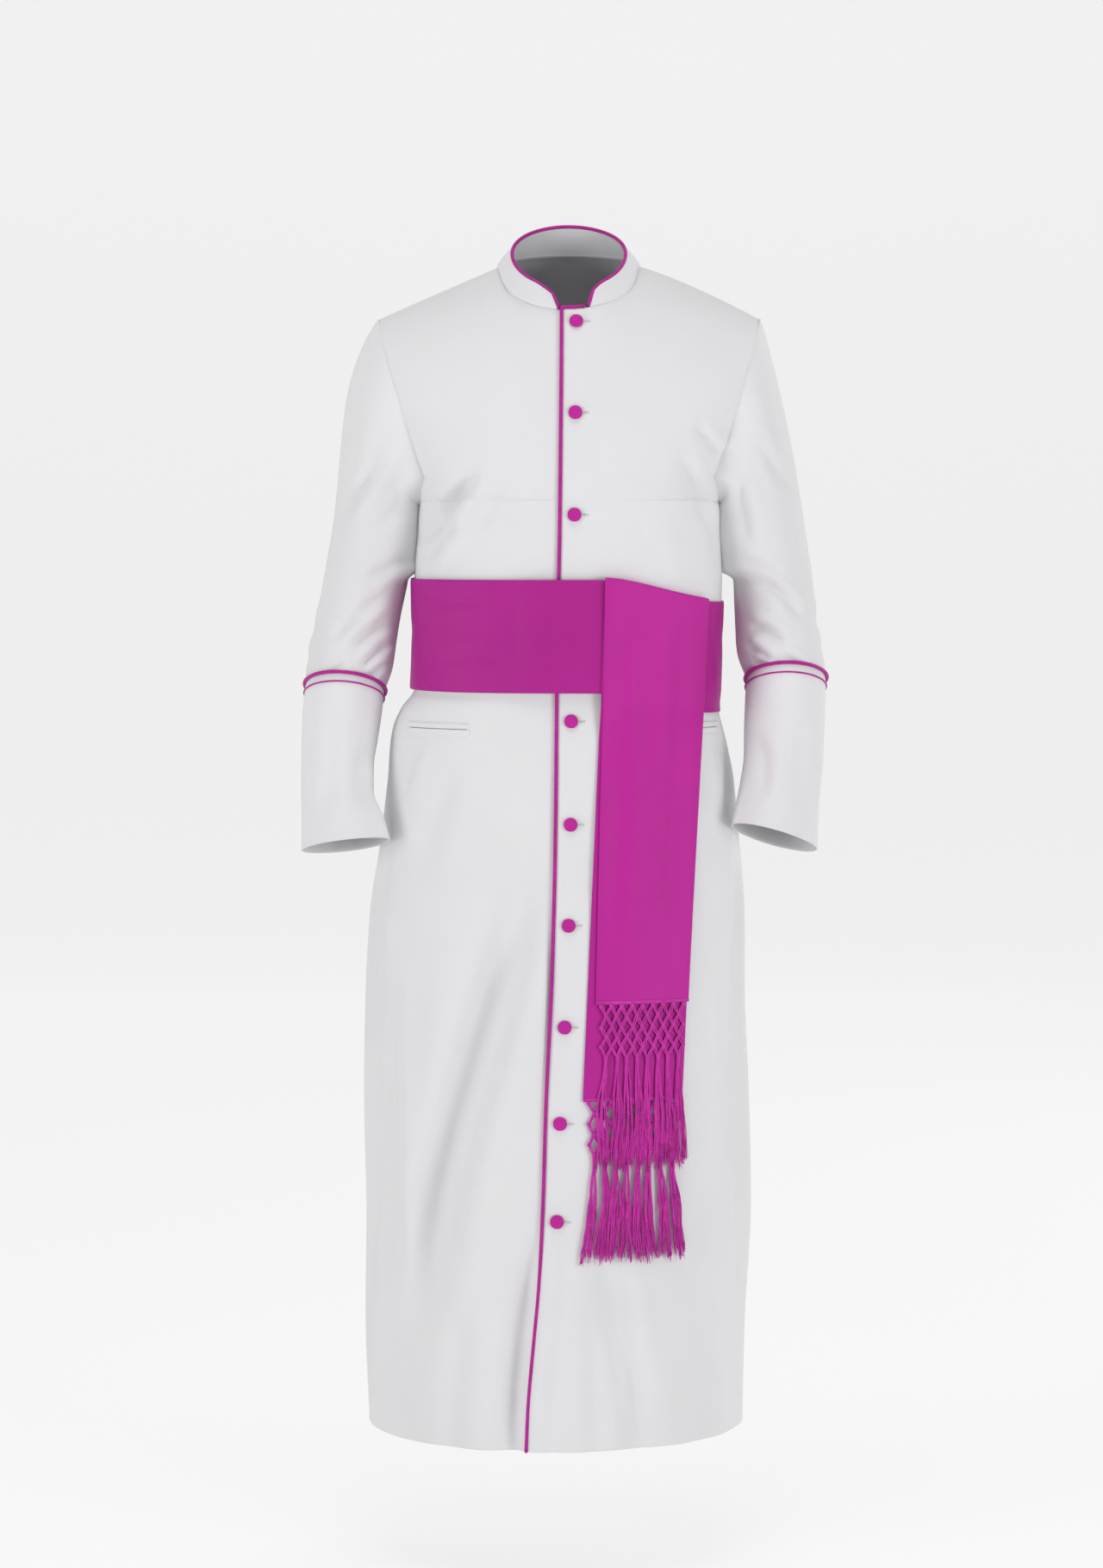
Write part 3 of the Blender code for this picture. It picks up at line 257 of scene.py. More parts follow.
def body(face, beta, z, folded=True):
    """Points of the robe's inner face: face is 1 in front and -1 behind, and beta is the
    angle from the middle of that face towards +X."""
    beta, z = np.broadcast_arrays(np.asarray(beta, float), np.asarray(z, float))
    half_width = table_at(BODY, "half_width", z)
    depth = table_at(BODY, "front" if face > 0 else "back", z)
    power = table_at(BODY, "power", z)
    reach = np.abs(np.sin(beta) / half_width) ** power + np.abs(np.cos(beta) / depth) ** power
    radius = reach ** (-1 / power)
    if folded:
        radius = radius + fold_relief(beta if face > 0 else np.pi - beta, z, radius)
    x = table_at(BODY, "centre_x", z) + radius * np.sin(beta)
    return np.stack([x, -face * radius * np.cos(beta), z], axis=-1)


def off_body(face, beta, z, distance):
    """Points at a distance outside the unfolded body, square to it."""
    step = 0.004
    around = body(face, beta + step, z, False) - body(face, beta - step, z, False)
    upward = body(face, beta, z + step, False) - body(face, beta, z - step, False)
    outward = unit(np.cross(around, upward)) * face
    return body(face, beta, z, False) + outward * np.asarray(distance)[..., None]


def front_angle(x, z):
    """Angle where the front of the body lies at x."""
    x, z = np.broadcast_arrays(np.asarray(x, float), np.asarray(z, float))
    low, high = np.full(x.shape, -np.pi / 2), np.full(x.shape, np.pi / 2)
    for _ in range(ANGLE_STEPS):
        middle = (low + high) / 2
        short = body(1, middle, z, False)[..., 0] < x
        low, high = np.where(short, middle, low), np.where(short, high, middle)
    return (low + high) / 2


def lap_lift(x, z):
    """How far the over front rides above the under front."""
    beyond = x - table_at(FRONT_EDGE, "x", z) - LAP_FLAT
    return LAP_LIFT * (1 - ramp(beyond / LAP_FADE))


def neckline(face, angle):
    """Points of the neck seam at angles from the middle of the front or back."""
    depth, rise = (NECK_FRONT, -NECK_FRONT_DROP) if face > 0 else (NECK_BACK, NECK_BACK_RISE)
    forward = np.maximum(np.cos(angle), 0.0)
    z = NECK_SIDE_Z + rise * forward**NECK_CURVE
    return np.stack([NECK_HALF_WIDTH * np.sin(angle), -face * depth * forward, z], axis=-1)


def top_edge(face, beta):
    """Upper ends of a panel's columns, on the neck seam and then on the shoulder seam."""
    share = np.abs(beta) / ARMHOLE_ANGLE
    side = np.where(beta > 0, 1.0, -1.0)
    neck = neckline(face, side * np.minimum(share / NECK_SHARE, 1.0) * np.pi / 2)
    out = np.maximum(share - NECK_SHARE, 0.0) / (1 - NECK_SHARE) * (SHOULDER_X - NECK_HALF_WIDTH)
    fall = np.where(beta > 0, SHOULDER_FALL[1], SHOULDER_FALL[-1])
    curve = np.where(beta > 0, SHOULDER_CURVE[1], SHOULDER_CURVE[-1])
    z = NECK_SIDE_Z - fall * out - curve * out**2
    shoulder = np.stack([side * (NECK_HALF_WIDTH + out), np.zeros_like(out), z], axis=-1)
    return np.where((share <= NECK_SHARE)[..., None], neck, shoulder)


def yoke(face, low_beta, top_beta, rise):
    """Points between the chest line and the neck or shoulder seam."""
    low, top = body(face, low_beta, CHEST_Z), top_edge(face, top_beta)
    share = np.minimum(np.abs(top_beta) / ARMHOLE_ANGLE / NECK_SHARE, 1.0)
    bend = between(YOKE_MIDDLE[face].bend, YOKE_SHOULDER.bend, share)
    roll = between(YOKE_MIDDLE[face].roll, YOKE_SHOULDER.roll, share)
    outward = rise ** (1 - YOKE_LEAN * np.abs(low_beta) / ARMHOLE_ANGLE)
    fullness = ARMHOLE_FULLNESS * np.sin(np.pi * rise) * (np.abs(low_beta) / ARMHOLE_ANGLE) ** 3
    curve = np.maximum(1 - rise**bend, 0.0) ** roll
    x = between(low[..., 0], top[..., 0], outward)
    y = top[..., 1] + (low[..., 1] - top[..., 1]) * curve - face * fullness
    z = between(low[..., 2], top[..., 2], rise)
    return np.stack([x, y, z], axis=-1)


def armhole_angle(z):
    """Angle where a panel ends, from the side seam up into the armhole."""
    share = np.clip((z - SIDE_TOP_Z) / (CHEST_Z - SIDE_TOP_Z), 0.0, 1.0)
    return between(np.pi / 2, ARMHOLE_ANGLE, np.sqrt(share))


def runs(*stops_and_counts):
    """Values that run evenly from stop to stop: stop, count, stop, count, stop."""
    stops, counts = stops_and_counts[::2], stops_and_counts[1::2]
    parts = [between(a, b, np.arange(n) / n) for a, b, n in zip(stops, stops[1:], counts)]
    return np.concatenate(parts + [np.atleast_1d(stops[-1])])


def over_columns(edge, seam):
    return runs(edge, OVER_COLUMNS[0], seam * NECK_SHARE, OVER_COLUMNS[1], seam)


def under_columns(edge, seam):
    outer, middle, inner = UNDER_COLUMNS
    tucked = between(edge, seam * NECK_SHARE, TUCK_SHARE)
    return runs(-seam, outer, -seam * NECK_SHARE, middle, edge, inner, tucked)


def panel(face, columns):
    """Grid of points of a panel, from the hem to the neck and shoulder seams."""
    heights = runs(HEM_Z, SKIRT_ROWS, SIDE_TOP_Z, ARMHOLE_ROWS, CHEST_Z)
    climb = np.linspace(0, 1, ARMHOLE_ROWS + 1) ** ARMHOLE_SPACING
    heights[SKIRT_ROWS:] = between(SIDE_TOP_Z, CHEST_Z, climb)
    edges = front_angle(table_at(FRONT_EDGE, "x", heights), heights)
    beta = np.stack([columns(edge, seam) for edge, seam in zip(edges, armhole_angle(heights))])
    lower = body(face, beta, heights[:, None])
    low = beta[-1]
    edge_angle = math.asin(FRONT_EDGE[0].x / NECK_HALF_WIDTH)
    top = columns(ARMHOLE_ANGLE * NECK_SHARE / (np.pi / 2) * edge_angle, ARMHOLE_ANGLE)
    rises = 1 - (1 - np.arange(1, YOKE_ROWS + 1) / YOKE_ROWS) ** YOKE_SPACING
    upper = np.stack([yoke(face, low, top, rise) for rise in rises])
    return ease_shoulder(np.concatenate([lower, upper]), rises, np.abs(top) / ARMHOLE_ANGLE)


def ease_shoulder(points, rises, station):
    """Let the cloth roll softly below the corner where neck and shoulder seams meet."""
    near = ramp(EASING_PEAK - EASING_PEAK * np.abs(station - NECK_SHARE) / EASING_WIDTH)
    lower = len(points) - len(rises)
    below_chest = ramp((np.arange(lower) - lower + EASING_ROWS) / EASING_ROWS)
    full = np.concatenate([below_chest, ramp((1 - rises) / EASING_FADE)])
    weight = (full[:, None] * near[None, :])[:, 1:-1, None]
    for _ in range(SHOULDER_EASING):
        beside = (points[:, :-2] + points[:, 2:]) / 2
        points[:, 1:-1] = between(points[:, 1:-1], beside, 0.5 * weight)
    return points


def grid_normals(points, flip=False, closed=False):
    """Unit vectors square to a grid of points at each of them."""
    if closed:
        around = np.roll(points, -1, axis=1) - np.roll(points, 1, axis=1)
    else:
        around = np.gradient(points, axis=1)
    upward = np.gradient(points, axis=0)
    square = unit(np.cross(around, upward))
    return -square if flip else square


def cloth_rule(points, closed=False):
    """Distances along the cloth across and up, in metres, measured from the grid's corner."""
    if closed:
        points = np.concatenate([points, points[:, :1]], axis=1)
    across = np.linalg.norm(np.diff(points, axis=1), axis=-1)
    upward = np.linalg.norm(np.diff(points, axis=0), axis=-1)
    u = np.concatenate([np.zeros((len(points), 1)), np.cumsum(across, axis=1)], axis=1)
    v = np.concatenate([np.zeros((1, points.shape[1])), np.cumsum(upward, axis=0)])
    return u, v


def smooth_path(path, steps=8):
    """More points on a smooth curve through a path's own points."""
    path = np.array(path, dtype=float)
    full = np.concatenate([[2 * path[0] - path[1]], path, [2 * path[-1] - path[-2]]])
    line = []
    for a, b, c, d in zip(full, full[1:], full[2:], full[3:]):
        for t in np.arange(steps) / steps:
            line.append(0.5 * (
                2 * b + (c - a) * t + (2 * a - 5 * b + 4 * c - d) * t**2
                + (3 * b - a - 3 * c + d) * t**3
            ))
    return np.array(line + [path[-1]])


def crease_relief(points, normals, creases):
    """Troughs with a low ridge beside them, along paths drawn as seen from a side."""
    total = np.zeros(points.shape[:2])
    for crease in creases:
        across, up, facing = SEEN[crease.seen]
        place = points[..., [across, up]]
        line = smooth_path(crease.path)
        nearest = np.full(total.shape, 1e9)
        side, along = np.zeros(total.shape), np.zeros(total.shape)
        for k, (start, end) in enumerate(zip(line, line[1:])):
            run = end - start
            t = np.clip(((place - start) @ run) / (run @ run), 0.0, 1.0)
            gap = place - start - t[..., None] * run
            away = np.linalg.norm(gap, axis=-1)
            closer = away < nearest
            nearest = np.where(closer, away, nearest)
            side = np.where(closer, np.sign(run[0] * gap[..., 1] - run[1] * gap[..., 0]), side)
            along = np.where(closer, (k + t) / (len(line) - 1), along)
        s = side * nearest / crease.width
        ridge = crease.ridge * np.exp(-(((s - RIDGE_PLACE) / RIDGE_WIDTH) ** 2))
        shape = -np.exp(-(s**2)) + ridge
        fade = ramp(along / CREASE_FADE) * ramp((1 - along) / CREASE_FADE)
        faced = ramp((normals @ np.array(facing)) / GRAZING)
        total += CREASE_STRENGTH * crease.depth * shape * fade * faced
    return total


def drift(points, size, amount, turn=0.0):
    """Soft uneven swell of hanging cloth, with no beat that repeats."""
    x, y, z = points[..., 0], points[..., 1], points[..., 2]
    waves = (
        np.sin((x + 0.6 * y) / size * 1.9 + 0.35 * z / size + turn)
        + np.sin((0.8 * y - x) / size * 1.3 + 0.62 * z / size + 2.1 + turn)
        + np.sin(z / size * 1.17 + 1.4 * np.sin(x / size + turn) + 0.7)
        + 0.6 * np.sin((x + y) / size * 3.1 - 0.9 * z / size + 4.2 + turn)
    )
    return amount * waves / 2.4


def seam_dip(distance):
    """The cloth sinks a little where it is sewn."""
    return -SEAM_DIP * np.exp(-((distance / SEAM_DIP_WIDTH) ** 2))


def hem_line(v):
    """Faint dent where a hem's turned edge is caught, and a rounded fold at its foot."""
    dent = HEM_DENT * np.exp(-(((v - HEM_DEPTH) / HEM_DENT_WIDTH) ** 2))
    return -dent + HEM_ROUND * ramp(1 - v / HEM_ROUND_LENGTH)


def grid_mesh(name, points, u, v, flip=False, closed=False):
    """Mesh of a grid of points, with the cloth's own measure as its UV map."""
    height, width = points.shape[:2]
    columns = width if closed else width - 1
    i, j = np.meshgrid(np.arange(height - 1), np.arange(columns), indexing="ij")
    i, j = i.ravel(), j.ravel()
    corners = [(i, j), (i, j + 1), (i + 1, j + 1), (i + 1, j)]
    if flip:
        corners = corners[::-1]
    faces = np.stack([row * width + column % width for row, column in corners], axis=1)
    maps = np.stack(
        [np.stack([u[row, column], v[row, column]], axis=1) for row, column in corners], axis=1
    )
    mesh = bpy.data.meshes.new(name)
    mesh.from_pydata(points.reshape(-1, 3).tolist(), [], faces.tolist())
    layer = mesh.uv_layers.new(name="cloth")
    layer.data.foreach_set("uv", maps.reshape(-1).astype(np.float32))
    mesh.shade_smooth()
    return mesh


def add_piece(name, mesh, material, node):
    """Put a piece in the scene in place of its plain solid."""
    piece = bpy.data.objects.new(name, mesh)
    bpy.context.scene.collection.objects.link(piece)
    mesh.materials.append(material)
    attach(piece, "root")
    if node:
        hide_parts(node)
    return piece


def sew_sheet(name, points, material, thickness, node, flip=False, closed=False, lining=None):
    """One thickness of cloth: its inner face is the grid and its outer face lies outside it."""
    u, v = cloth_rule(points, closed)
    piece = add_piece(name, grid_mesh(name, points, u, v, flip, closed), material, node)
    wall = piece.modifiers.new("cloth thickness", "SOLIDIFY")
    wall.thickness = thickness
    wall.offset = 1.0
    if lining:
        # The grid itself faces inwards once the wall has its thickness
        piece.data.materials.append(lining)
        wall.material_offset = 1
        wall.material_offset_rim = 0
    edges = piece.modifiers.new("crisp edges", "WEIGHTED_NORMAL")
    edges.keep_sharp = True
    return piece


class Recipe:
    """Shader nodes of one named finish, added as they are laid."""

    def __init__(self, name, roughness):
        self.material = bpy.data.materials.new(name)
        self.material.use_nodes = True
        self.tree = self.material.node_tree
        self.shader = self.tree.nodes["Principled BSDF"]
        self.shader.inputs["Roughness"].default_value = roughness
        measure = self.node("ShaderNodeUVMap")
        measure.uv_map = "cloth"
        parts = self.node("ShaderNodeSeparateXYZ", Vector=measure.outputs[0])
        self.u, self.v = parts.outputs[0], parts.outputs[1]
        self.place = self.node("ShaderNodeTexCoord").outputs["Object"]

    def node(self, kind, **inputs):
        item = self.tree.nodes.new(kind)
        for key, value in inputs.items():
            self.feed(item.inputs[key], value)
        return item

    def feed(self, socket, value):
        if hasattr(value, "is_output"):
            self.tree.links.new(value, socket)
        else:
            socket.default_value = value

    def math(self, operation, first, second=0.0, third=0.0):
        item = self.tree.nodes.new("ShaderNodeMath")
        item.operation = operation
        for socket, value in zip(item.inputs, (first, second, third)):
            self.feed(socket, value)
        return item.outputs[0]

    def wave(self, measure, pitch):
        """Rises and falls once in each pitch along a measure."""
        return self.math("SINE", self.math("MULTIPLY", measure, math.tau / pitch))

    def noise(self, scale, detail=2.0):
        item = self.node("ShaderNodeTexNoise", Vector=self.place, Scale=scale, Detail=detail)
        return item.outputs["Fac"]

    def colours(self, share, stops):
        """Colour ramp: pairs of place and colour."""
        item = self.node("ShaderNodeValToRGB", Fac=share)
        line = item.color_ramp
        while len(line.elements) < len(stops):
            line.elements.new(0.5)
        for element, (place, colour) in zip(line.elements, stops):
            element.position = place
            element.color = (*colour, 1.0)
        return item.outputs[0]

    def finish(self, colour, relief, depth, sheen=0.0, sheen_tint=(1.0, 1.0, 1.0), gloss=0.5):
        """Join colour and relief to the shader."""
        self.feed(self.shader.inputs["Base Color"], colour)
        self.shader.inputs["Specular IOR Level"].default_value = gloss
        self.shader.inputs["Sheen Tint"].default_value = (*sheen_tint, 1.0)
        bump = self.node("ShaderNodeBump", Height=relief, Strength=1.0, Distance=depth)
        self.feed(self.shader.inputs["Normal"], bump.outputs[0])
        self.shader.inputs["Sheen Weight"].default_value = sheen
        self.shader.inputs["Sheen Roughness"].default_value = 0.4
        return self.material


def tone(colour, share):
    return tuple(channel * share for channel in colour)


def suiting(name, colour):
    """Smooth twill: fine slanting ribs, slubs and a very soft change of tone."""
    recipe = Recipe(name, roughness=0.86)
    slant = recipe.math("ADD", recipe.u, recipe.math("MULTIPLY", recipe.v, 1.7))
    rib = recipe.wave(slant, WEAVE_PITCH * 1.6)
    thread = recipe.wave(recipe.u, WEAVE_PITCH)
    slub = recipe.noise(scale=420.0, detail=3.0)
    weave = recipe.math("MULTIPLY_ADD", rib, 0.30, recipe.math("MULTIPLY_ADD", thread, 0.16, slub))
    broad = recipe.noise(scale=7.0, detail=3.0)
    share = recipe.math("MULTIPLY_ADD", weave, 0.10, recipe.math("MULTIPLY", broad, 0.9))
    shade = recipe.colours(share, [(0.15, tone(colour, 0.955)), (0.85, tone(colour, 1.015))])
    return recipe.finish(shade, weave, depth=0.00011, sheen=0.08, gloss=0.3)


robe_cloth = suiting("robe suiting", WHITE)
robe_inside = suiting("robe lining", LINING_WHITE)

over = panel(1, over_columns)
over_normals = grid_normals(over)
lift = lap_lift(over[..., 0], over[..., 2])
over = over + over_normals * lift[..., None]
u, v = cloth_rule(over)
relief = crease_relief(over, over_normals, FRONT_CREASES)
relief += drift(over, size=0.085, amount=0.0007)
relief += seam_dip(u[:, -1:] - u) + hem_line(v) + seam_dip(v[-1:] - v)
over_face = over + over_normals * relief[..., None]
front_left = sew_sheet(
    "front_left_cloth", over_face, robe_cloth, CLOTH, "front_left", lining=robe_inside
)

under = panel(1, under_columns)
under_normals = grid_normals(under)
u, v = cloth_rule(under)
relief = crease_relief(under, under_normals, FRONT_CREASES)
relief += drift(under, size=0.085, amount=0.0007)
past_edge = under[..., 0] - table_at(FRONT_EDGE, "x", under[..., 2])
tucked = ramp((past_edge + TUCK_FADE) / TUCK_FADE)
relief = relief * (1 - tucked) - TUCK_SINK * tucked
relief = relief + seam_dip(u) + hem_line(v) + seam_dip(v[-1:] - v)
under_face = under + under_normals * relief[..., None]
front_right = sew_sheet(
    "front_right_cloth", under_face, robe_cloth, CLOTH, "front_right",
    lining=robe_inside,
)


# Back
# The back is one piece from the neck to the hem, of the same suiting. It falls straight from
# the shoulder blades, lies flat under the waist band and opens below it into soft folds.
BACK_COLUMNS = (26, 76, 26)
UNDER_BAND_TOP_Z = -0.342
UNDER_BAND_LOW_Z = -0.514
UNDER_BAND_FADE = 0.012
BACK_CREASES = (
    Crease("back", [(-0.150, -0.200), (-0.120, -0.262), (-0.104, -0.330)], 0.0120, 0.0024, 0.5),
    Crease("back", [(0.152, -0.190), (0.126, -0.250), (0.098, -0.338)], 0.0120, 0.0026, 0.5),
    Crease("back", [(-0.060, -0.268), (-0.020, -0.300), (0.030, -0.306)], 0.0100, 0.0014, 0.5),
    Crease("back", [(0.070, -0.300), (0.030, -0.326), (-0.030, -0.334)], 0.0080, 0.0012, 0.5),
    Crease("back", [(-0.168, -0.270), (-0.156, -0.310), (-0.140, -0.346)], 0.0065, 0.0018, 0.6),
    Crease("back", [(0.168, -0.262), (0.154, -0.304), (0.136, -0.344)], 0.0065, 0.0020, 0.6),
    Crease("back", [(-0.080, -0.500), (-0.090, -0.580), (-0.104, -0.690), (-0.112, -0.820)],
           0.0130, 0.0030, 0.6),
    Crease("back", [(-0.030, -0.494), (-0.034, -0.600), (-0.044, -0.780), (-0.050, -0.980)],
           0.0140, 0.0034, 0.6),
    Crease("back", [(0.026, -0.496), (0.032, -0.590), (0.030, -0.720)], 0.0110, 0.0022, 0.5),
    Crease("back", [(0.082, -0.506), (0.096, -0.620), (0.110, -0.800), (0.118, -1.020)],
           0.0150, 0.0034, 0.6),
    Crease("back", [(0.140, -0.540), (0.156, -0.640), (0.166, -0.760)], 0.0110, 0.0024, 0.5),
    Crease("back", [(-0.150, -0.560), (-0.166, -0.700), (-0.176, -0.900)], 0.0120, 0.0026, 0.5),
    Crease("back", [(0.000, -0.900), (0.008, -1.080), (0.006, -1.320)], 0.0190, 0.0036, 0.5),
    Crease("back", [(-0.096, -0.980), (-0.110, -1.150), (-0.118, -1.330)], 0.0160, 0.0034, 0.5),
    Crease("back", [(0.150, -1.000), (0.158, -1.160), (0.160, -1.330)], 0.0150, 0.0030, 0.5),
    Crease("left", [(0.040, -0.560), (0.056, -0.740), (0.068, -1.000), (0.072, -1.300)],
           0.0160, 0.0036, 0.5),
    Crease("right", [(0.036, -0.570), (0.052, -0.780), (0.060, -1.060), (0.058, -1.300)],
           0.0160, 0.0036, 0.5),
)


def back_columns(_, seam):
    station = seam * NECK_SHARE
    return runs(-seam, BACK_COLUMNS[0], -station, BACK_COLUMNS[1], station, BACK_COLUMNS[2], seam)


behind = panel(-1, back_columns)
behind_normals = grid_normals(behind, flip=True)
u, v = cloth_rule(behind)
relief = crease_relief(behind, behind_normals, BACK_CREASES)
relief += drift(behind, size=0.090, amount=0.0009, turn=1.3)
relief += seam_dip(u) + seam_dip(u[:, -1:] - u) + hem_line(v) + seam_dip(v[-1:] - v)
above_foot = ramp((behind[..., 2] - UNDER_BAND_LOW_Z) / UNDER_BAND_FADE)
below_top = ramp((UNDER_BAND_TOP_Z - behind[..., 2]) / UNDER_BAND_FADE)
relief -= above_foot * below_top * np.maximum(relief, 0.0)
behind_face = behind + behind_normals * relief[..., None]
back = sew_sheet(
    "back_cloth", behind_face, robe_cloth, CLOTH, "back",
    flip=True, lining=robe_inside,
)


# Sleeves
# Set-in sleeves of the same suiting. Each is eased into its armhole over the shoulder and
# hangs to a seam at the elbow, where the arm's bend gathers the cloth on its inner side.
Ring = namedtuple("Ring", "height x y half_width half_depth tilt roll")
SLEEVE_RINGS = {
    1: (
        Ring(-0.300, 0.2262, 0.002, 0.0455, 0.0600, 2, 0),
        Ring(-0.325, 0.2312, 0.004, 0.0448, 0.0590, 2, 0),
        Ring(-0.350, 0.2355, 0.006, 0.0446, 0.0580, 3, 0),
        Ring(-0.378, 0.2380, 0.007, 0.0455, 0.0565, 5, 0),
        Ring(-0.406, 0.2402, 0.005, 0.0464, 0.0550, 9, 0),
        Ring(-0.436, 0.2438, 0.001, 0.0480, 0.0535, 16, 0),
        Ring(-0.4655, 0.2505, -0.008, 0.0440, 0.0505, 22, 0),
    ),
    -1: (
        Ring(-0.300, 0.2268, 0.002, 0.0455, 0.0600, 2, 0),
        Ring(-0.328, 0.2312, 0.004, 0.0466, 0.0590, 2, 0),
        Ring(-0.358, 0.2358, 0.006, 0.0475, 0.0575, 3, 0),
        Ring(-0.390, 0.2425, 0.007, 0.0474, 0.0560, 5, 0),
        Ring(-0.420, 0.2482, 0.005, 0.0480, 0.0545, 9, -1),
        Ring(-0.448, 0.2525, 0.000, 0.0482, 0.0530, 16, -3),
        Ring(-0.4765, 0.2580, -0.008, 0.0438, 0.0505, 22, -4),
    ),
}
SLEEVE_CREASES = {
    1: (
        Crease("front", [(0.206, -0.188), (0.232, -0.222), (0.262, -0.262)], 0.0090, 0.0024, 0.6),
        Crease("front", [(0.192, -0.236), (0.202, -0.274), (0.208, -0.320)], 0.0070, 0.0024, 0.6),
        Crease("front", [(0.208, -0.352), (0.232, -0.362), (0.252, -0.380), (0.268, -0.404)],
               0.0065, 0.0024, 0.7),
        Crease("front", [(0.200, -0.330), (0.222, -0.336), (0.244, -0.348)], 0.0060, 0.0014, 0.5),
        Crease("front", [(0.204, -0.404), (0.226, -0.410), (0.250, -0.426)], 0.0060, 0.0024, 0.8),
        Crease("front", [(0.202, -0.424), (0.218, -0.434), (0.236, -0.448)], 0.0045, 0.0024, 0.9),
        Crease("front", [(0.208, -0.442), (0.222, -0.448), (0.234, -0.460)], 0.0036, 0.0018, 0.9),
        Crease("front", [(0.240, -0.438), (0.256, -0.444), (0.276, -0.462)], 0.0045, 0.0014, 0.7),
        Crease("left", [(-0.030, -0.390), (0.002, -0.402), (0.032, -0.396)], 0.0100, 0.0007, 0.4),
        Crease("left", [(-0.026, -0.424), (0.004, -0.436), (0.036, -0.426)], 0.0090, 0.0008, 0.4),
        Crease("back", [(0.186, -0.200), (0.204, -0.250), (0.216, -0.310)], 0.0080, 0.0022, 0.6),
        Crease("back", [(0.208, -0.380), (0.232, -0.394), (0.262, -0.396)], 0.0080, 0.0024, 0.7),
        Crease("back", [(0.208, -0.412), (0.236, -0.424), (0.270, -0.420)], 0.0065, 0.0022, 0.7),
    ),
    -1: (
        Crease("front", [(-0.196, -0.180), (-0.220, -0.222), (-0.244, -0.258), (-0.268, -0.292)],
               0.0085, 0.0028, 0.7),
        Crease("front", [(-0.184, -0.236), (-0.200, -0.270), (-0.222, -0.302)],
               0.0075, 0.0016, 0.5),
        Crease("front", [(-0.186, -0.316), (-0.206, -0.336), (-0.234, -0.350)],
               0.0070, 0.0026, 0.7),
        Crease("front", [(-0.204, -0.362), (-0.228, -0.382), (-0.254, -0.404), (-0.274, -0.426)],
               0.0060, 0.0022, 0.7),
        Crease("front", [(-0.208, -0.396), (-0.226, -0.414), (-0.250, -0.434)],
               0.0055, 0.0022, 0.8),
        Crease("front", [(-0.210, -0.420), (-0.222, -0.436), (-0.240, -0.456)],
               0.0042, 0.0026, 0.9),
        Crease("front", [(-0.214, -0.444), (-0.224, -0.456), (-0.234, -0.470)],
               0.0034, 0.0018, 0.9),
        Crease("front", [(-0.252, -0.446), (-0.268, -0.456), (-0.282, -0.474)],
               0.0045, 0.0014, 0.7),
        Crease("right", [(-0.032, -0.400), (0.000, -0.412), (0.032, -0.404)], 0.0100, 0.0007, 0.4),
        Crease("right", [(-0.028, -0.436), (0.004, -0.446), (0.034, -0.438)], 0.0090, 0.0008, 0.4),
        Crease("back", [(-0.188, -0.206), (-0.206, -0.252), (-0.220, -0.316)], 0.0080, 0.0022, 0.6),
        Crease("back", [(-0.212, -0.388), (-0.238, -0.404), (-0.268, -0.404)], 0.0080, 0.0026, 0.7),
        Crease("back", [(-0.214, -0.424), (-0.242, -0.438), (-0.276, -0.432)], 0.0065, 0.0022, 0.7),
    ),
}
# Where the cloth rests against the body, and how far it swells towards it on each side
ARM_REST = {1: 0.0190, -1: 0.0145}
ARM_REST_WIDTH = 1.2
ARM_REST_TOP_Z = -0.236
ARM_REST_TOP_FADE = 0.03
ARM_REST_LOW_Z = -0.354
ARM_REST_LOW_FADE = 0.02
# The cap's curve; pairs are for under the arm and for the top of the shoulder
CAP_SPREAD = {1: 0.25, -1: 0.57}
CAP_FORWARD = 0.12
CAP_DOWN = (0.05, 0.85)
CAP_INWARD = (0.02, 0.16)
CAP_NEAR = (0.50, 0.34)
CAP_FAR = (0.42, 0.45)
CAP_SPACING = 1.15
CAP_ALLOWANCE = 0.004
CAP_TURN = 0.0015
HALF_ARMHOLE = 44
CAP_ROWS = 52
SLEEVE_ROWS = 58


def ring_points(side, rings, heights, angles, wider=0.0):
    """Grid of points on rings round the arm; the angle runs from the body side over the front."""
    read = {name: table_at(rings, name, heights)[:, None] for name in Ring._fields[1:]}
    tilt, roll = np.radians(read["tilt"]), np.radians(read["roll"])
    out = -np.cos(angles) * (read["half_width"] + wider)
    forward = np.sin(angles) * (read["half_depth"] + wider)
    x = side * (read["x"] + out * np.cos(roll))
    y = read["y"] - forward * np.cos(tilt)
    z = heights[:, None] + forward * np.sin(tilt) - out * np.sin(roll)
    return np.stack(np.broadcast_arrays(x, y, z), axis=-1)


def along_line(points, count):
    """Evenly spaced points along a line of points."""
    lengths = np.concatenate([[0.0], np.cumsum(np.linalg.norm(np.diff(points, axis=0), axis=1))])
    places = np.linspace(0.0, lengths[-1], count + 1)
    return np.stack([np.interp(places, lengths, points[:, axis]) for axis in range(3)], axis=1)


def armhole(front_edge, back_edge):
    """Armhole line from under the arm over the front to the shoulder and down the back."""
    front_half = along_line(front_edge[SKIRT_ROWS:], HALF_ARMHOLE)
    back_half = along_line(back_edge[SKIRT_ROWS:][::-1], HALF_ARMHOLE)
    return np.concatenate([front_half[:-1], back_half[:-1]])


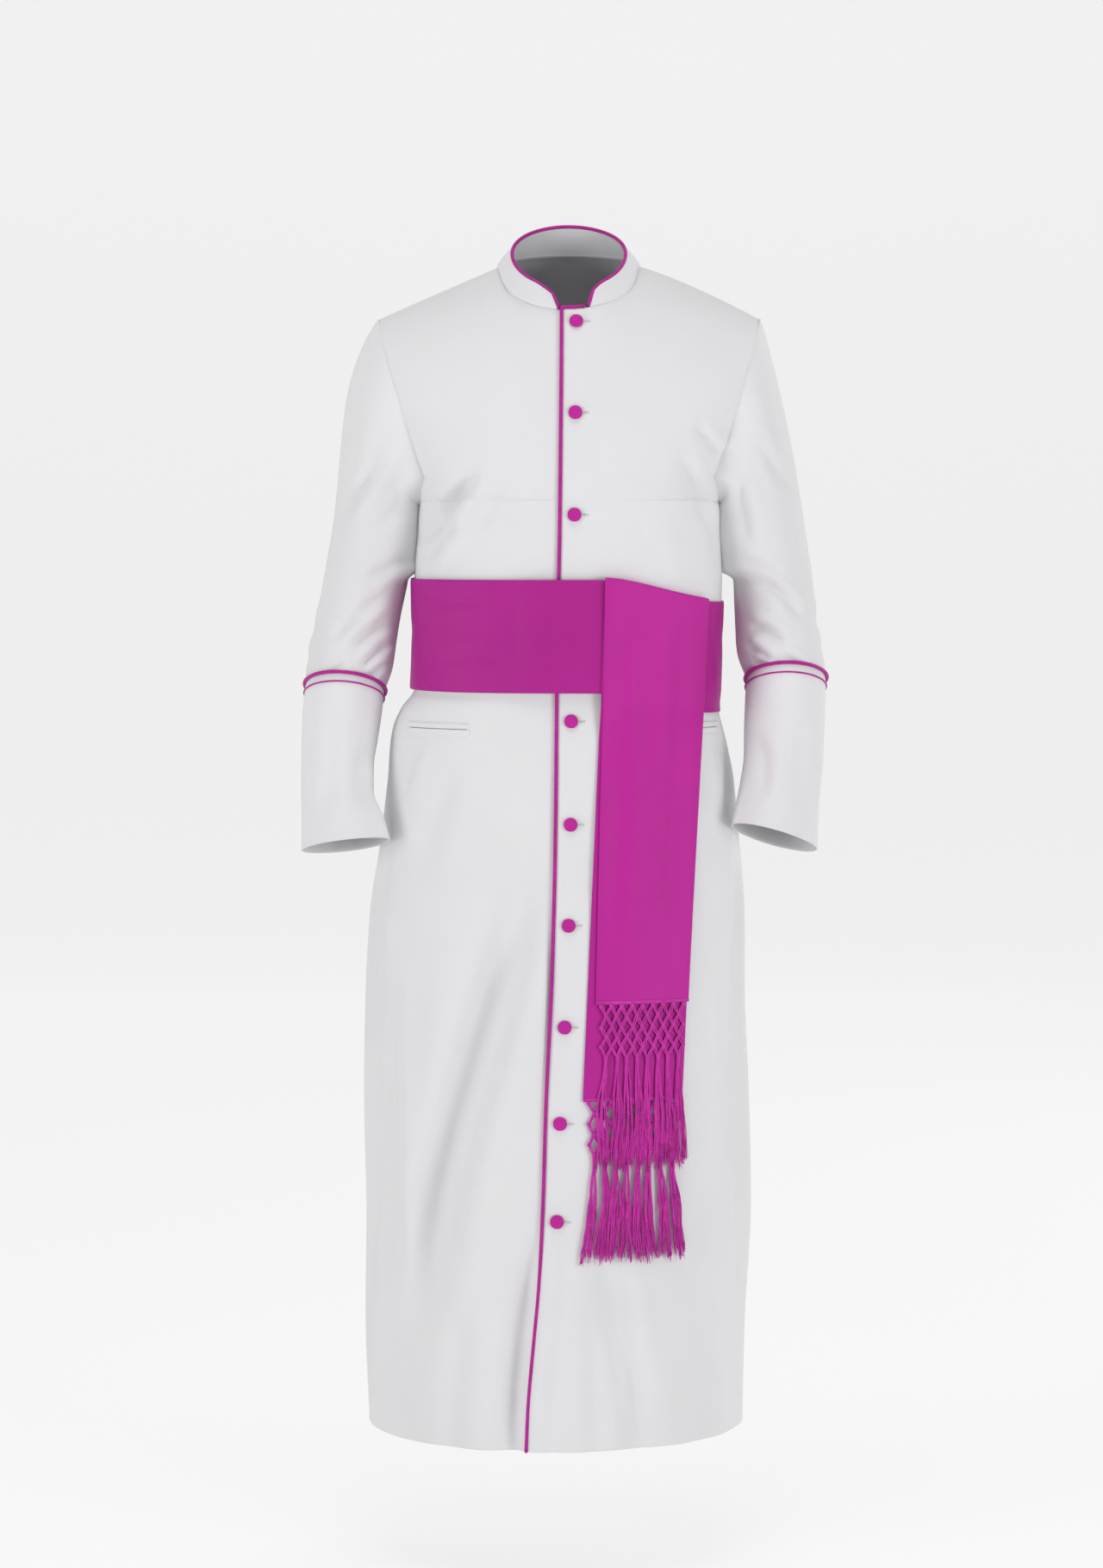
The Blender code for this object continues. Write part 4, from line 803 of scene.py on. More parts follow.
def sleeve_points(side, loop, angles):
    """Sleeve from its seam allowance inside the armhole down to the last ring."""
    rings = SLEEVE_RINGS[side]
    first_ring = ring_points(side, rings, np.array([rings[0].height]), angles)[0]
    up = (1 - np.cos(angles)) / 2
    out = side * between(1.0, CAP_SPREAD[side], up)
    forward = -CAP_FORWARD * np.sin(angles)
    leave = unit(np.stack([out, forward, -between(*CAP_DOWN, up)], axis=1))
    arrive = unit(np.stack([-side * between(*CAP_INWARD, up), 0 * up, 1 + 0 * up], axis=1))
    reach = np.linalg.norm(first_ring - loop, axis=1)[:, None]
    near = loop + leave * reach * between(*CAP_NEAR, up)[:, None]
    far = first_ring + arrive * reach * between(*CAP_FAR, up)[:, None]
    rows = [loop - leave * CAP_ALLOWANCE, loop - leave * CAP_TURN]
    for step in np.linspace(0, 1, CAP_ROWS) ** CAP_SPACING:
        rows.append(
            loop * (1 - step) ** 3 + near * 3 * step * (1 - step) ** 2
            + far * 3 * step**2 * (1 - step) + first_ring * step**3
        )
    heights = np.linspace(rings[0].height, rings[-1].height, SLEEVE_ROWS + 1)[1:]
    return np.concatenate([np.stack(rows), ring_points(side, rings, heights, angles)])


arm_angles = np.arange(2 * HALF_ARMHOLE) * np.pi / HALF_ARMHOLE
for side, name, front_edge, back_edge in (
    (1, "left", over_face[:, -1], behind_face[:, -1]),
    (-1, "right", under_face[:, 0], behind_face[:, 0]),
):
    loop = armhole(front_edge, back_edge)
    points = sleeve_points(side, loop, arm_angles)
    normals = grid_normals(points, flip=side > 0, closed=True)
    u, v = cloth_rule(points, closed=True)
    below = v[-1:, :-1] - v[:, :-1]
    relief = crease_relief(points, normals, SLEEVE_CREASES[side])
    relief += drift(points, size=0.050, amount=0.0006, turn=side)
    from_body = np.minimum(arm_angles, 2 * np.pi - arm_angles)
    toward_body = np.exp(-((from_body / ARM_REST_WIDTH) ** 2))
    above_low = ramp((points[..., 2] - ARM_REST_LOW_Z) / ARM_REST_LOW_FADE)
    below_top = ramp((ARM_REST_TOP_Z - points[..., 2]) / ARM_REST_TOP_FADE)
    relief += ARM_REST[side] * toward_body * above_low * below_top
    relief += seam_dip(v[:, :-1] - CAP_ALLOWANCE) + seam_dip(below)
    points = points + normals * relief[..., None]
    sleeve = sew_sheet(
        f"sleeve_{name}_cloth", points, robe_cloth, CLOTH, f"sleeve_{name}",
        flip=side > 0, closed=True, lining=robe_inside,
    )


# Cuffs
# Deep cuffs sewn on at the elbow seam. They are interlined, so they keep their round shape
# down to the turned edge at the wrist.
CUFF_RINGS = {
    1: (
        Ring(-0.490, 0.2494, -0.015, 0.0447, 0.0490, 21, 1),
        Ring(-0.525, 0.2474, -0.027, 0.0446, 0.0470, 20, 3),
        Ring(-0.560, 0.2459, -0.040, 0.0442, 0.0455, 19, 6),
        Ring(-0.592, 0.2415, -0.053, 0.0448, 0.0445, 18, 10),
        Ring(-0.620, 0.2375, -0.066, 0.0470, 0.0435, 17, 13),
        Ring(-0.6455, 0.2343, -0.078, 0.0491, 0.0425, 16, 16),
    ),
    -1: (
        Ring(-0.500, 0.2604, -0.015, 0.0440, 0.0490, 21, -2),
        Ring(-0.535, 0.2635, -0.027, 0.0424, 0.0470, 19, 0),
        Ring(-0.568, 0.2658, -0.040, 0.0400, 0.0455, 17, 2),
        Ring(-0.598, 0.2652, -0.053, 0.0400, 0.0445, 15, 4),
        Ring(-0.628, 0.2588, -0.067, 0.0455, 0.0435, 14, 6),
        Ring(-0.6544, 0.2547, -0.080, 0.0490, 0.0425, 13, 7),
    ),
}
CUFF_GAP = 0.0009
CUFF_ROWS = 60
CUFF_FOOT_ROUND = 0.0004
CUFF_FOOT_LENGTH = 0.005
CUFF_CREASES = {
    1: (
        Crease("front", [(0.212, -0.520), (0.222, -0.560), (0.218, -0.604)], 0.0080, 0.0018, 0.5),
        Crease("front", [(0.262, -0.500), (0.264, -0.560), (0.258, -0.630)], 0.0100, 0.0012, 0.4),
        Crease("back", [(0.222, -0.520), (0.246, -0.560), (0.262, -0.600)], 0.0110, 0.0020, 0.5),
    ),
    -1: (
        Crease("front", [(-0.226, -0.530), (-0.236, -0.570), (-0.230, -0.610)],
               0.0080, 0.0020, 0.5),
        Crease("front", [(-0.276, -0.500), (-0.272, -0.570), (-0.282, -0.640)],
               0.0100, 0.0012, 0.4),
        Crease("back", [(-0.232, -0.530), (-0.254, -0.570), (-0.274, -0.610)], 0.0110, 0.0020, 0.5),
    ),
}


def cuff_rings(side):
    """The cuff's rings, led by one just below the sleeve's last ring."""
    ring = SLEEVE_RINGS[side][-1]
    tilt = math.radians(ring.tilt)
    first = ring._replace(
        height=ring.height - CUFF_GAP * math.cos(tilt), y=ring.y - CUFF_GAP * math.sin(tilt)
    )
    return (first, *CUFF_RINGS[side])


for side, name in ((1, "left"), (-1, "right")):
    rings = cuff_rings(side)
    heights = np.linspace(rings[0].height, rings[-1].height, CUFF_ROWS + 1)
    points = ring_points(side, rings, heights, arm_angles)
    normals = grid_normals(points, flip=side > 0, closed=True)
    u, v = cloth_rule(points, closed=True)
    foot = v[-1:, :-1] - v[:, :-1]
    relief = crease_relief(points, normals, CUFF_CREASES[side])
    relief += drift(points, size=0.045, amount=0.0004, turn=2 * side)
    relief += seam_dip(v[:, :-1]) + CUFF_FOOT_ROUND * ramp(1 - foot / CUFF_FOOT_LENGTH)
    points = points + normals * relief[..., None]
    cuff = sew_sheet(
        f"cuff_{name}_cloth", points, robe_cloth, CLOTH, f"cuff_{name}",
        flip=side > 0, closed=True, lining=robe_inside,
    )


# Piping
# Every edge and the cuff seams are trimmed with piping: a thin cord wrapped in bias-cut
# satin. A thick line covers each cuff seam and a thin one runs just below it.
MAGENTA = (0.478, 0.0140, 0.294)
MAGENTA_SHEEN = (1.0, 0.30, 0.85)
PIPING_RADIUS = 0.0021
THIN_PIPING_RADIUS = 0.0010
PIPING_SEAT = 0.0019
PIPING_SIDES = 10
PIPING_END_LEAD = 0.5
PIPING_END_SIZE = 0.3
CUFF_PIPING_SINK = 0.8
CUFF_PIPING_POINTS = 160
THIN_PIPING_DROP = 0.42
NOTCH_PIPING = 0.0310
GAP = 0.0003


def piping_satin():
    """Satin on the bias round a cord: slanting threads and small puckers from the stitches."""
    recipe = Recipe("piping satin", roughness=0.46)
    slant = recipe.math("ADD", recipe.u, recipe.v)
    thread = recipe.wave(slant, pitch=0.0009)
    pucker = recipe.wave(recipe.v, pitch=0.0052)
    relief = recipe.math("MULTIPLY_ADD", thread, 0.35, recipe.math("MULTIPLY", pucker, 0.65))
    share = recipe.math("MULTIPLY_ADD", relief, 0.16, recipe.noise(scale=90.0))
    shade = recipe.colours(share, [(0.25, tone(MAGENTA, 0.80)), (0.80, tone(MAGENTA, 1.12))])
    return recipe.finish(
        shade, relief, depth=0.00014, sheen=0.15, sheen_tint=MAGENTA_SHEEN, gloss=0.25
    )


def cord_rings(line, radius, sides, closed, facing=(0.0, -1.0, 0.03)):
    """Grid of points round a line, one ring of sides at each of its points."""
    if closed:
        run = np.roll(line, -1, axis=0) - np.roll(line, 1, axis=0)
    else:
        run = np.gradient(line, axis=0)
    run = unit(run)
    first = unit(np.cross(run, np.array(facing)))
    second = np.cross(first, run)
    angle = np.arange(sides) * 2 * np.pi / sides
    cosine, sine = np.cos(angle)[None, :, None], np.sin(angle)[None, :, None]
    ring = first[:, None] * cosine + second[:, None] * sine
    return line[:, None] + ring * np.broadcast_to(radius, (len(line),))[:, None, None]


def pipe(name, line, radius, node, closed=False, facing=(0.0, -1.0, 0.03)):
    """Piping along a line, its ends rounded over."""
    if closed:
        rings = cord_rings(line, radius, PIPING_SIDES, True, facing)
        rings = np.concatenate([rings, rings[:1]])
    else:
        lead = unit(line[0] - line[1]) * radius * PIPING_END_LEAD
        tail = unit(line[-1] - line[-2]) * radius * PIPING_END_LEAD
        line = np.concatenate([[line[0] + lead], line, [line[-1] + tail]])
        sizes = np.full(len(line), radius)
        sizes[[0, -1]] = radius * PIPING_END_SIZE
        rings = cord_rings(line, sizes, PIPING_SIDES, False, facing)
    u, v = cloth_rule(rings, closed=True)
    mesh = grid_mesh(name, rings, u, v, closed=True)
    return add_piece(name, mesh, piping, node)


piping = piping_satin()
round_cuff = np.arange(CUFF_PIPING_POINTS) * 2 * np.pi / CUFF_PIPING_POINTS
for side, name in ((1, "left"), (-1, "right")):
    rings = cuff_rings(side)
    for label, radius, drop in (
        ("upper", PIPING_RADIUS, 0.0),
        ("lower", THIN_PIPING_RADIUS, THIN_PIPING_DROP),
    ):
        height = between(rings[0].height, rings[1].height, drop)
        wider = CLOTH + radius * CUFF_PIPING_SINK
        line = ring_points(side, rings, np.array([height]), round_cuff, wider)[0]
        node = f"piping_cuff_{label}_{name}"
        pipe(f"{node}_cord", line, radius, node, closed=True, facing=(0.0, 0.35, 1.0))

edge_run = unit(over_face[:, 0] - over_face[:, 1])
front_line = over_face[:, 0] + edge_run * PIPING_SEAT + over_normals[:, 0] * PIPING_SEAT
front_line = front_line[::2]
neck_rise = unit(over_face[-1, 0] - over_face[-2, 0]) * (PIPING_SEAT + GAP)
neck_row = over_face[-1]
neck_run = np.linalg.norm(np.diff(neck_row, axis=0), axis=1).cumsum()
notch_end = int(np.searchsorted(neck_run, NOTCH_PIPING))
notch_line = neck_row[2:notch_end:2] + neck_rise + over_normals[-1, 2:notch_end:2] * PIPING_SEAT
corner = front_line[-1] + neck_rise
front_line = np.concatenate([front_line[:-1], [corner], notch_line])
pipe("piping_front_cord", front_line, PIPING_RADIUS, "piping_front")


# Collar
# A stand collar in two layers of suiting with canvas between them. Its ends stop short at
# the notch in front, and one line of piping runs round its ends and its rim.
COLLAR_CLOTH = 0.0022
RIM_HALF_WIDTH = 0.0655
RIM_FRONT = 0.065
RIM_BACK = 0.056
RIM_SIDE_Z = 0.020
RIM_SLOPE_FRONT = 0.67
RIM_SLOPE_BACK = 0.58
CollarEnd = namedtuple("CollarEnd", "base_deg rim_deg")
COLLAR_RIGHT_END = CollarEnd(-9.2, -19.8)
COLLAR_LEFT_END = CollarEnd(16.4, 26.7)
COLLAR_LIFT = 0.0004
COLLAR_LAP_LIFT = 0.0010
COLLAR_LAP_DEG = 30
COLLAR_LAP_FADE_DEG = 40
COLLAR_BULGE = 0.0007
COLLAR_RISE = 0.06
CORNER_LENGTH = (0.013, 0.020)
CORNER_DROP = (0.20, 0.30)
COLLAR_COLUMNS = 190
COLLAR_ROWS = 20


def neck_seam(angle):
    """Points of the neck seam, counted all the way round from the front."""
    front = neckline(1, np.arcsin(np.sin(angle)))
    behind_neck = neckline(-1, np.arcsin(np.sin(angle)))
    return np.where((np.cos(angle) >= 0)[..., None], front, behind_neck)


def rim_points(angle):
    y = -np.cos(angle) * np.where(np.cos(angle) > 0, RIM_FRONT, RIM_BACK)
    slope = np.where(y < 0, RIM_SLOPE_FRONT, RIM_SLOPE_BACK)
    return np.stack([RIM_HALF_WIDTH * np.sin(angle), y, RIM_SIDE_Z + slope * y], axis=-1)


share = np.linspace(0, 1, COLLAR_COLUMNS + 1)
base_angle = np.radians(between(COLLAR_LEFT_END.base_deg, 360 + COLLAR_RIGHT_END.base_deg, share))
rim_angle = np.radians(between(COLLAR_LEFT_END.rim_deg, 360 + COLLAR_RIGHT_END.rim_deg, share))
over_lap = 1 - ramp((np.degrees(base_angle) - COLLAR_LAP_DEG) / COLLAR_LAP_FADE_DEG)
base = neck_seam(base_angle)
base[:, 2] += COLLAR_LIFT + COLLAR_LAP_LIFT * over_lap
rim = rim_points(rim_angle)
up = np.linspace(0, 1, COLLAR_ROWS + 1)[:, None, None]
rim_run = np.concatenate([[0.0], np.cumsum(np.linalg.norm(np.diff(rim, axis=0), axis=1))])
rounding = CORNER_DROP[0] * np.maximum(1 - rim_run / CORNER_LENGTH[0], 0.0) ** 2
rounding += CORNER_DROP[1] * np.maximum(1 - (rim_run[-1] - rim_run) / CORNER_LENGTH[1], 0.0) ** 2
points = between(base, rim, up * (1 - rounding)[:, None])
normals = grid_normals(points)
relief = COLLAR_BULGE * np.sin(np.pi * up[..., 0]) + drift(points, size=0.030, amount=0.00025)
relief += seam_dip(COLLAR_RISE * up[..., 0])
points = points + normals * relief[..., None]
collar = sew_sheet(
    "collar_cloth", points, robe_cloth, COLLAR_CLOTH, "collar", lining=robe_cloth
)

left_run = unit(points[:, 0] - points[:, 1]) * PIPING_SEAT + normals[:, 0] * COLLAR_CLOTH / 2
right_run = unit(points[:, -1] - points[:, -2]) * PIPING_SEAT + normals[:, -1] * COLLAR_CLOTH / 2
rim_rise = unit(points[-1] - points[-2]) * PIPING_SEAT + normals[-1] * COLLAR_CLOTH / 2
left_side, right_side = points[:, 0] + left_run, points[:, -1] + right_run
left_side[-1] += unit(points[-1, 0] - points[-2, 0]) * PIPING_SEAT * 0.5
right_side[-1] += unit(points[-1, -1] - points[-2, -1]) * PIPING_SEAT * 0.5
rim_line = (points[-1] + rim_rise)[2:-2]
collar_line = np.concatenate(
    [left_side[1::2], left_side[-1:], rim_line, right_side[-1:], right_side[1::2][::-1]]
)
pipe("piping_collar_cord", collar_line, PIPING_RADIUS, "piping_collar", facing=(0.03, 0.05, 1.0))


# Buttons
# Round buttons covered in the magenta satin, gathered under their rims, each beside a
# worked buttonhole in the over front.
BUTTON_RADIUS = 0.0079
BUTTON_THICKNESS = 0.0046
BUTTON_SIDES = 40
BUTTON_SEAT = 0.0004
BUTTON_PROFILE = (
    (0.62, -0.05), (0.90, 0.02), (1.0, 0.26), (0.93, 0.60), (0.66, 0.88), (0.34, 0.98), (0.02, 1.0),
)
GATHERS = 12
GATHER_DEPTH = 0.022
BUTTONHOLE_START = -0.004
BUTTONHOLE_END = 0.0155
STITCHES = 26
STITCH_RADIUS = 0.00036
STITCH_LENGTH = 0.0020
STITCH_TOP = 0.18
STITCH_FOOT = 0.5
STITCH_SINK = 0.0001
SATIN_RIB = 0.0007
SATIN_THREAD = 0.00062
THREAD_PLY = 0.0013


def satin(name, colour):
    """Closely ribbed satin: fine level ribs, a soft cloudy sheen and few slubs."""
    recipe = Recipe(name, roughness=0.50)
    rib = recipe.wave(recipe.v, SATIN_RIB)
    thread = recipe.wave(recipe.u, SATIN_THREAD)
    slub = recipe.noise(scale=260.0, detail=3.0)
    weave = recipe.math("MULTIPLY_ADD", rib, 0.32, recipe.math("MULTIPLY_ADD", thread, 0.14, slub))
    broad = recipe.noise(scale=9.0, detail=4.0)
    share = recipe.math("MULTIPLY_ADD", weave, 0.12, recipe.math("MULTIPLY", broad, 0.86))
    shade = recipe.colours(share, [(0.18, tone(colour, 0.90)), (0.82, tone(colour, 1.07))])
    return recipe.finish(
        shade, weave, depth=0.00010, sheen=0.12, sheen_tint=MAGENTA_SHEEN, gloss=0.22
    )


def thread_finish(name, colour):
    """Plied thread: slanting turns along its length."""
    recipe = Recipe(name, roughness=0.58)
    slant = recipe.math("MULTIPLY_ADD", recipe.v, 0.8, recipe.u)
    ply = recipe.wave(slant, THREAD_PLY)
    fuzz = recipe.noise(scale=700.0, detail=3.0)
    relief = recipe.math("MULTIPLY_ADD", ply, 0.5, fuzz)
    broad = recipe.noise(scale=34.0)
    share = recipe.math("MULTIPLY_ADD", relief, 0.22, recipe.math("MULTIPLY", broad, 0.72))
    shade = recipe.colours(share, [(0.20, tone(colour, 0.72)), (0.85, tone(colour, 1.20))])
    return recipe.finish(
        shade, relief, depth=0.00018, sheen=0.30, sheen_tint=MAGENTA_SHEEN, gloss=0.25
    )


def strands(name, lines, radii, sides=3, facing=(0.0, -1.0, 0.03)):
    """One mesh of many threads: lines of points, all with the same count."""
    lines, radii = np.asarray(lines), np.asarray(radii)
    count, length = lines.shape[:2]
    run = unit(np.gradient(lines, axis=1))
    first = unit(np.cross(run, np.array(facing)))
    second = np.cross(first, run)
    angle = np.arange(sides) * 2 * np.pi / sides
    cosine, sine = np.cos(angle)[None, None, :, None], np.sin(angle)[None, None, :, None]
    ring = first[:, :, None] * cosine + second[:, :, None] * sine
    rings = lines[:, :, None] + ring * radii[..., None, None]
    steps = np.linalg.norm(np.diff(lines, axis=1), axis=-1)
    along = np.concatenate([np.zeros((count, 1)), np.cumsum(steps, axis=1)], axis=1)
    start = np.arange(count)[:, None, None] * length * sides
    i, j = np.arange(length - 1)[None, :, None], np.arange(sides)[None, None, :]
    corners = [(i, j), (i, j + 1), (i + 1, j + 1), (i + 1, j)]
    faces = np.stack([start + row * sides + column % sides for row, column in corners], axis=-1)
    faces = faces.reshape(-1, 4)
    shape = (count, length - 1, sides)
    maps = []
    for row, column in corners:
        across = np.broadcast_to(column * 2 * math.pi / sides * 0.0005, shape)
        thread = np.broadcast_to(np.arange(count)[:, None, None], shape)
        maps.append(np.stack([across, along[thread, np.broadcast_to(row, shape)]], axis=-1))
    caps = []
    for k in range(count):
        first_ring = k * length * sides
        last_ring = first_ring + (length - 1) * sides
        caps.append([first_ring + s for s in range(sides)][::-1])
        caps.append([last_ring + s for s in range(sides)])
    mesh = bpy.data.meshes.new(name)
    mesh.from_pydata(rings.reshape(-1, 3).tolist(), [], faces.tolist() + caps)
    layer = mesh.uv_layers.new(name="cloth")
    flat = np.stack(maps, axis=-2).reshape(-1, 2)
    flat = np.concatenate([flat, np.zeros((len(caps) * sides, 2))])
    layer.data.foreach_set("uv", flat.reshape(-1).astype(np.float32))
    mesh.shade_smooth()
    return mesh


def surface_tree(points):
    """What a pin pushed into a cloth would meet: the cloth's grid as a search tree."""
    height, width = points.shape[:2]
    faces = [
        (i * width + j, i * width + j + 1, (i + 1) * width + j + 1, (i + 1) * width + j)
        for i in range(height - 1) for j in range(width - 1)
    ]
    return BVHTree.FromPolygons([Vector(point) for point in points.reshape(-1, 3)], faces)


def spot_on(tree, x, z):
    """Point and outward direction of a front cloth at x and z."""
    place, normal, _, _ = tree.ray_cast(Vector((x, -1.0, z)), Vector((0, 1, 0)), 2.0)
    return np.array(place), np.array(normal if normal.y < 0 else -normal)


def button_mesh(name, centre, normal):
    """Dome of covered wood: rounded rim, slightly flat top and gathered cloth underneath."""
    across = unit(np.cross(np.array([0.0, 0.0, 1.0]), normal))
    up = np.cross(normal, across)
    profile = smooth_path(BUTTON_PROFILE, steps=4)
    angle = np.arange(BUTTON_SIDES) * 2 * np.pi / BUTTON_SIDES
    gather = GATHER_DEPTH * np.sin(angle * GATHERS) * np.clip(0.5 - profile[:, 1:2], 0, 1)
    radius = BUTTON_RADIUS * profile[:, :1] * (1 + gather)
    height = BUTTON_THICKNESS * profile[:, 1:2] + 0 * angle
    points = (
        centre + across * (radius * np.cos(angle))[..., None]
        + up * (radius * np.sin(angle))[..., None] + normal * height[..., None]
    )
    cols = np.arange(BUTTON_SIDES + 1) * 2 * np.pi / BUTTON_SIDES
    span = np.concatenate([radius, radius[:, :1]], axis=1)
    return grid_mesh(name, points, span * np.cos(cols), span * np.sin(cols), closed=True)


over_tree = surface_tree(over_face)
button_satin = satin("button satin", tone(MAGENTA, 1.04))
buttonhole_thread = suiting("buttonhole thread", WHITE)
buttonhole_lines = []
for node in sorted(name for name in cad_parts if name.startswith("button_")):
    low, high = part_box(node)
    middle = (low + high) / 2
    place, normal = spot_on(over_tree, middle.x, middle.z)
    centre = place + normal * (CLOTH + BUTTON_SEAT)
    add_piece(f"{node}_covered", button_mesh(node, centre, normal), button_satin, node)
    for k in range(STITCHES):
        x = middle.x + between(BUTTONHOLE_START, BUTTONHOLE_END, k / (STITCHES - 1))
        for above in (1, -1):
            spot, out = spot_on(over_tree, x, middle.z + above * STITCH_LENGTH * STITCH_TOP)
            foot, _ = spot_on(over_tree, x, middle.z + above * STITCH_LENGTH * STITCH_FOOT)
            buttonhole_lines.append([
                spot + out * (CLOTH - STITCH_SINK),
                (spot + foot) / 2 + out * (CLOTH + STITCH_RADIUS),
                foot + out * CLOTH,
            ])
stitch_radii = np.full((len(buttonhole_lines), 3), STITCH_RADIUS)
holes = strands("buttonhole_stitches", buttonhole_lines, stitch_radii, sides=4, facing=(1, 0, 0.1))
add_piece("buttonhole_stitches", holes, buttonhole_thread, None)


# Pockets
# Jetted pockets in the skirt's front: two narrow rolls of suiting with a slit between them,
# let into the panel. The slit is painted dark grey for the shade inside the pocket.
POCKET_Z = -0.5205
POCKET_HEIGHT = 0.018
POCKET_X = {1: (0.0975, 0.1700), -1: (-0.1830, -0.1105)}
POCKET_COLUMNS = 70
POCKET_ROWS = 34
POCKET_SEAT = 0.0004
POCKET_SINK = 0.0016
POCKET_END_FADE = 0.035
WELT_CLOTH = 0.0003
WELT_ROLL = 0.0019
WELT_MIDDLE = 0.36
WELT_REACH = 0.34
WELT_EDGE = 0.78
WELT_EDGE_FADE = 0.2
SLIT_DEPTH = 0.0006
SLIT_WIDTH = 0.05

# Painted shade: dark grey cloth on the slit's middle faces, in place of the shade inside the pocket
pocket_slit_shade = suiting("pocket slit painted shade", (0.20, 0.20, 0.22))
for side, name, face_points in ((1, "left", over_face), (-1, "right", under_face)):
    tree = over_tree if side > 0 else surface_tree(face_points)
    start, end = POCKET_X[side]
    points = np.zeros((POCKET_ROWS + 1, POCKET_COLUMNS + 1, 3))
    for i in range(POCKET_ROWS + 1):
        across = i / POCKET_ROWS * 2 - 1
        z = POCKET_Z + across * POCKET_HEIGHT / 2
        roll = WELT_ROLL * math.sqrt(max(1 - ((abs(across) - WELT_MIDDLE) / WELT_REACH) ** 2, 0.0))
        slit = -SLIT_DEPTH * math.exp(-((across / SLIT_WIDTH) ** 2))
        edge = -POCKET_SINK * float(ramp((abs(across) - WELT_EDGE) / WELT_EDGE_FADE))
        for j in range(POCKET_COLUMNS + 1):
            along = j / POCKET_COLUMNS
            spot, out = spot_on(tree, between(start, end, along), z)
            fade = float(ramp(min(along, 1 - along) / POCKET_END_FADE))
            rise = CLOTH + POCKET_SEAT + (roll + slit) * fade + edge - POCKET_SINK * (1 - fade)
            points[i, j] = spot + out * rise
    pocket = sew_sheet(
        f"pocket_{name}_welts", points, robe_cloth, WELT_CLOTH, f"pocket_{name}"
    )
    pocket.data.materials.append(pocket_slit_shade)
    # The middle rows of the slit take the dark grey painted shade
    inside = np.zeros((POCKET_ROWS, POCKET_COLUMNS), dtype=np.int32)
    inside[POCKET_ROWS // 2 - 1:POCKET_ROWS // 2 + 1, 4:-4] = 1
    pocket.data.polygons.foreach_set("material_index", inside.ravel())


# Waist band
# A stiff wide band of ribbed satin, lined and closed at the back. It stands off the front
# edge of the robe a little and sits lower on the wearer's left.
BAND_CLOTH = 0.0018
BAND_WIDTH = 0.127
BAND_TOP_Z = -0.3515
BAND_DROP = 0.0265
BAND_DROP_START_X = 0.030
BAND_DROP_RUN = 0.15
BAND_SPACE = 0.0016
BAND_STAND_OFF = 0.0046
BAND_STAND_FLAT = 0.030
BAND_STAND_FADE = 0.055
BUTTON_INSET = 0.0145
BAND_ROWS = 40
BAND_COLUMNS = {1: 181, -1: 131}
BAND_EDGE_ROLL = 0.0006
BAND_EDGE_WIDTH = 0.0020
BAND_STITCH_INSET = 0.0045
STITCH_DENT = 0.0003
STITCH_DENT_WIDTH = 0.0007
SATIN_DARK = tone(MAGENTA, 0.87)
BAND_CREASES = (
    Crease("front", [(-0.168, -0.372), (-0.120, -0.378), (-0.070, -0.374)], 0.0070, 0.0009, 0.5),
    Crease("front", [(-0.160, -0.446), (-0.110, -0.438), (-0.060, -0.444)], 0.0080, 0.0009, 0.5),
    Crease("front", [(-0.060, -0.360), (-0.062, -0.410), (-0.058, -0.470)], 0.0090, 0.0006, 0.3),
    Crease("front", [(0.138, -0.392), (0.152, -0.440), (0.150, -0.486)], 0.0060, 0.0012, 0.6),
    Crease("back", [(-0.130, -0.372), (-0.040, -0.384), (0.060, -0.380)], 0.0080, -0.0010, 0.1),
    Crease("back", [(-0.100, -0.414), (0.000, -0.424), (0.120, -0.430)], 0.0090, -0.0011, 0.1),
    Crease("back", [(-0.060, -0.452), (0.040, -0.458), (0.140, -0.474)], 0.0080, -0.0008, 0.1),
    Crease("left", [(-0.050, -0.410), (0.000, -0.422), (0.050, -0.414)], 0.0110, 0.0003, 0.4),
    Crease("right", [(-0.050, -0.402), (0.000, -0.412), (0.050, -0.402)], 0.0110, 0.0003, 0.4),
)


def band_top(x):
    """Height of the band's top edge: level, then lower towards the wearer's left."""
    return BAND_TOP_Z - BAND_DROP * ramp((x - BAND_DROP_START_X) / BAND_DROP_RUN)


def band_stand(x, z):
    """Distance from the robe's inner face to the band's, in front."""
    from_button = np.abs(x - table_at(FRONT_EDGE, "x", z) - BUTTON_INSET)
    bridge = BAND_STAND_OFF * (1 - ramp((from_button - BAND_STAND_FLAT) / BAND_STAND_FADE))
    return CLOTH + lap_lift(x, z) + BAND_SPACE + bridge


def stitch_dent(distance, inset):
    """Faint dent of the row of stitches that runs beside an edge."""
    return -STITCH_DENT * np.exp(-(((distance - inset) / STITCH_DENT_WIDTH) ** 2))


def band_points():
    front_beta = np.linspace(-np.pi / 2, np.pi / 2, BAND_COLUMNS[1])
    back_beta = np.linspace(np.pi / 2, -np.pi / 2, BAND_COLUMNS[-1])[1:-1]
    rows = []
    for up in np.linspace(0, 1, BAND_ROWS + 1):
        row = []
        for face, beta in ((1, front_beta), (-1, back_beta)):
            x = body(face, beta, np.full(beta.shape, BAND_TOP_Z), False)[:, 0]
            z = band_top(x) - BAND_WIDTH * (1 - up)
            x = body(face, beta, z, False)[:, 0]
            stand = band_stand(x, z) if face > 0 else np.full(beta.shape, CLOTH + BAND_SPACE)
            row.append(off_body(face, beta, z, stand))
        rows.append(np.concatenate(row))
    return np.stack(rows)


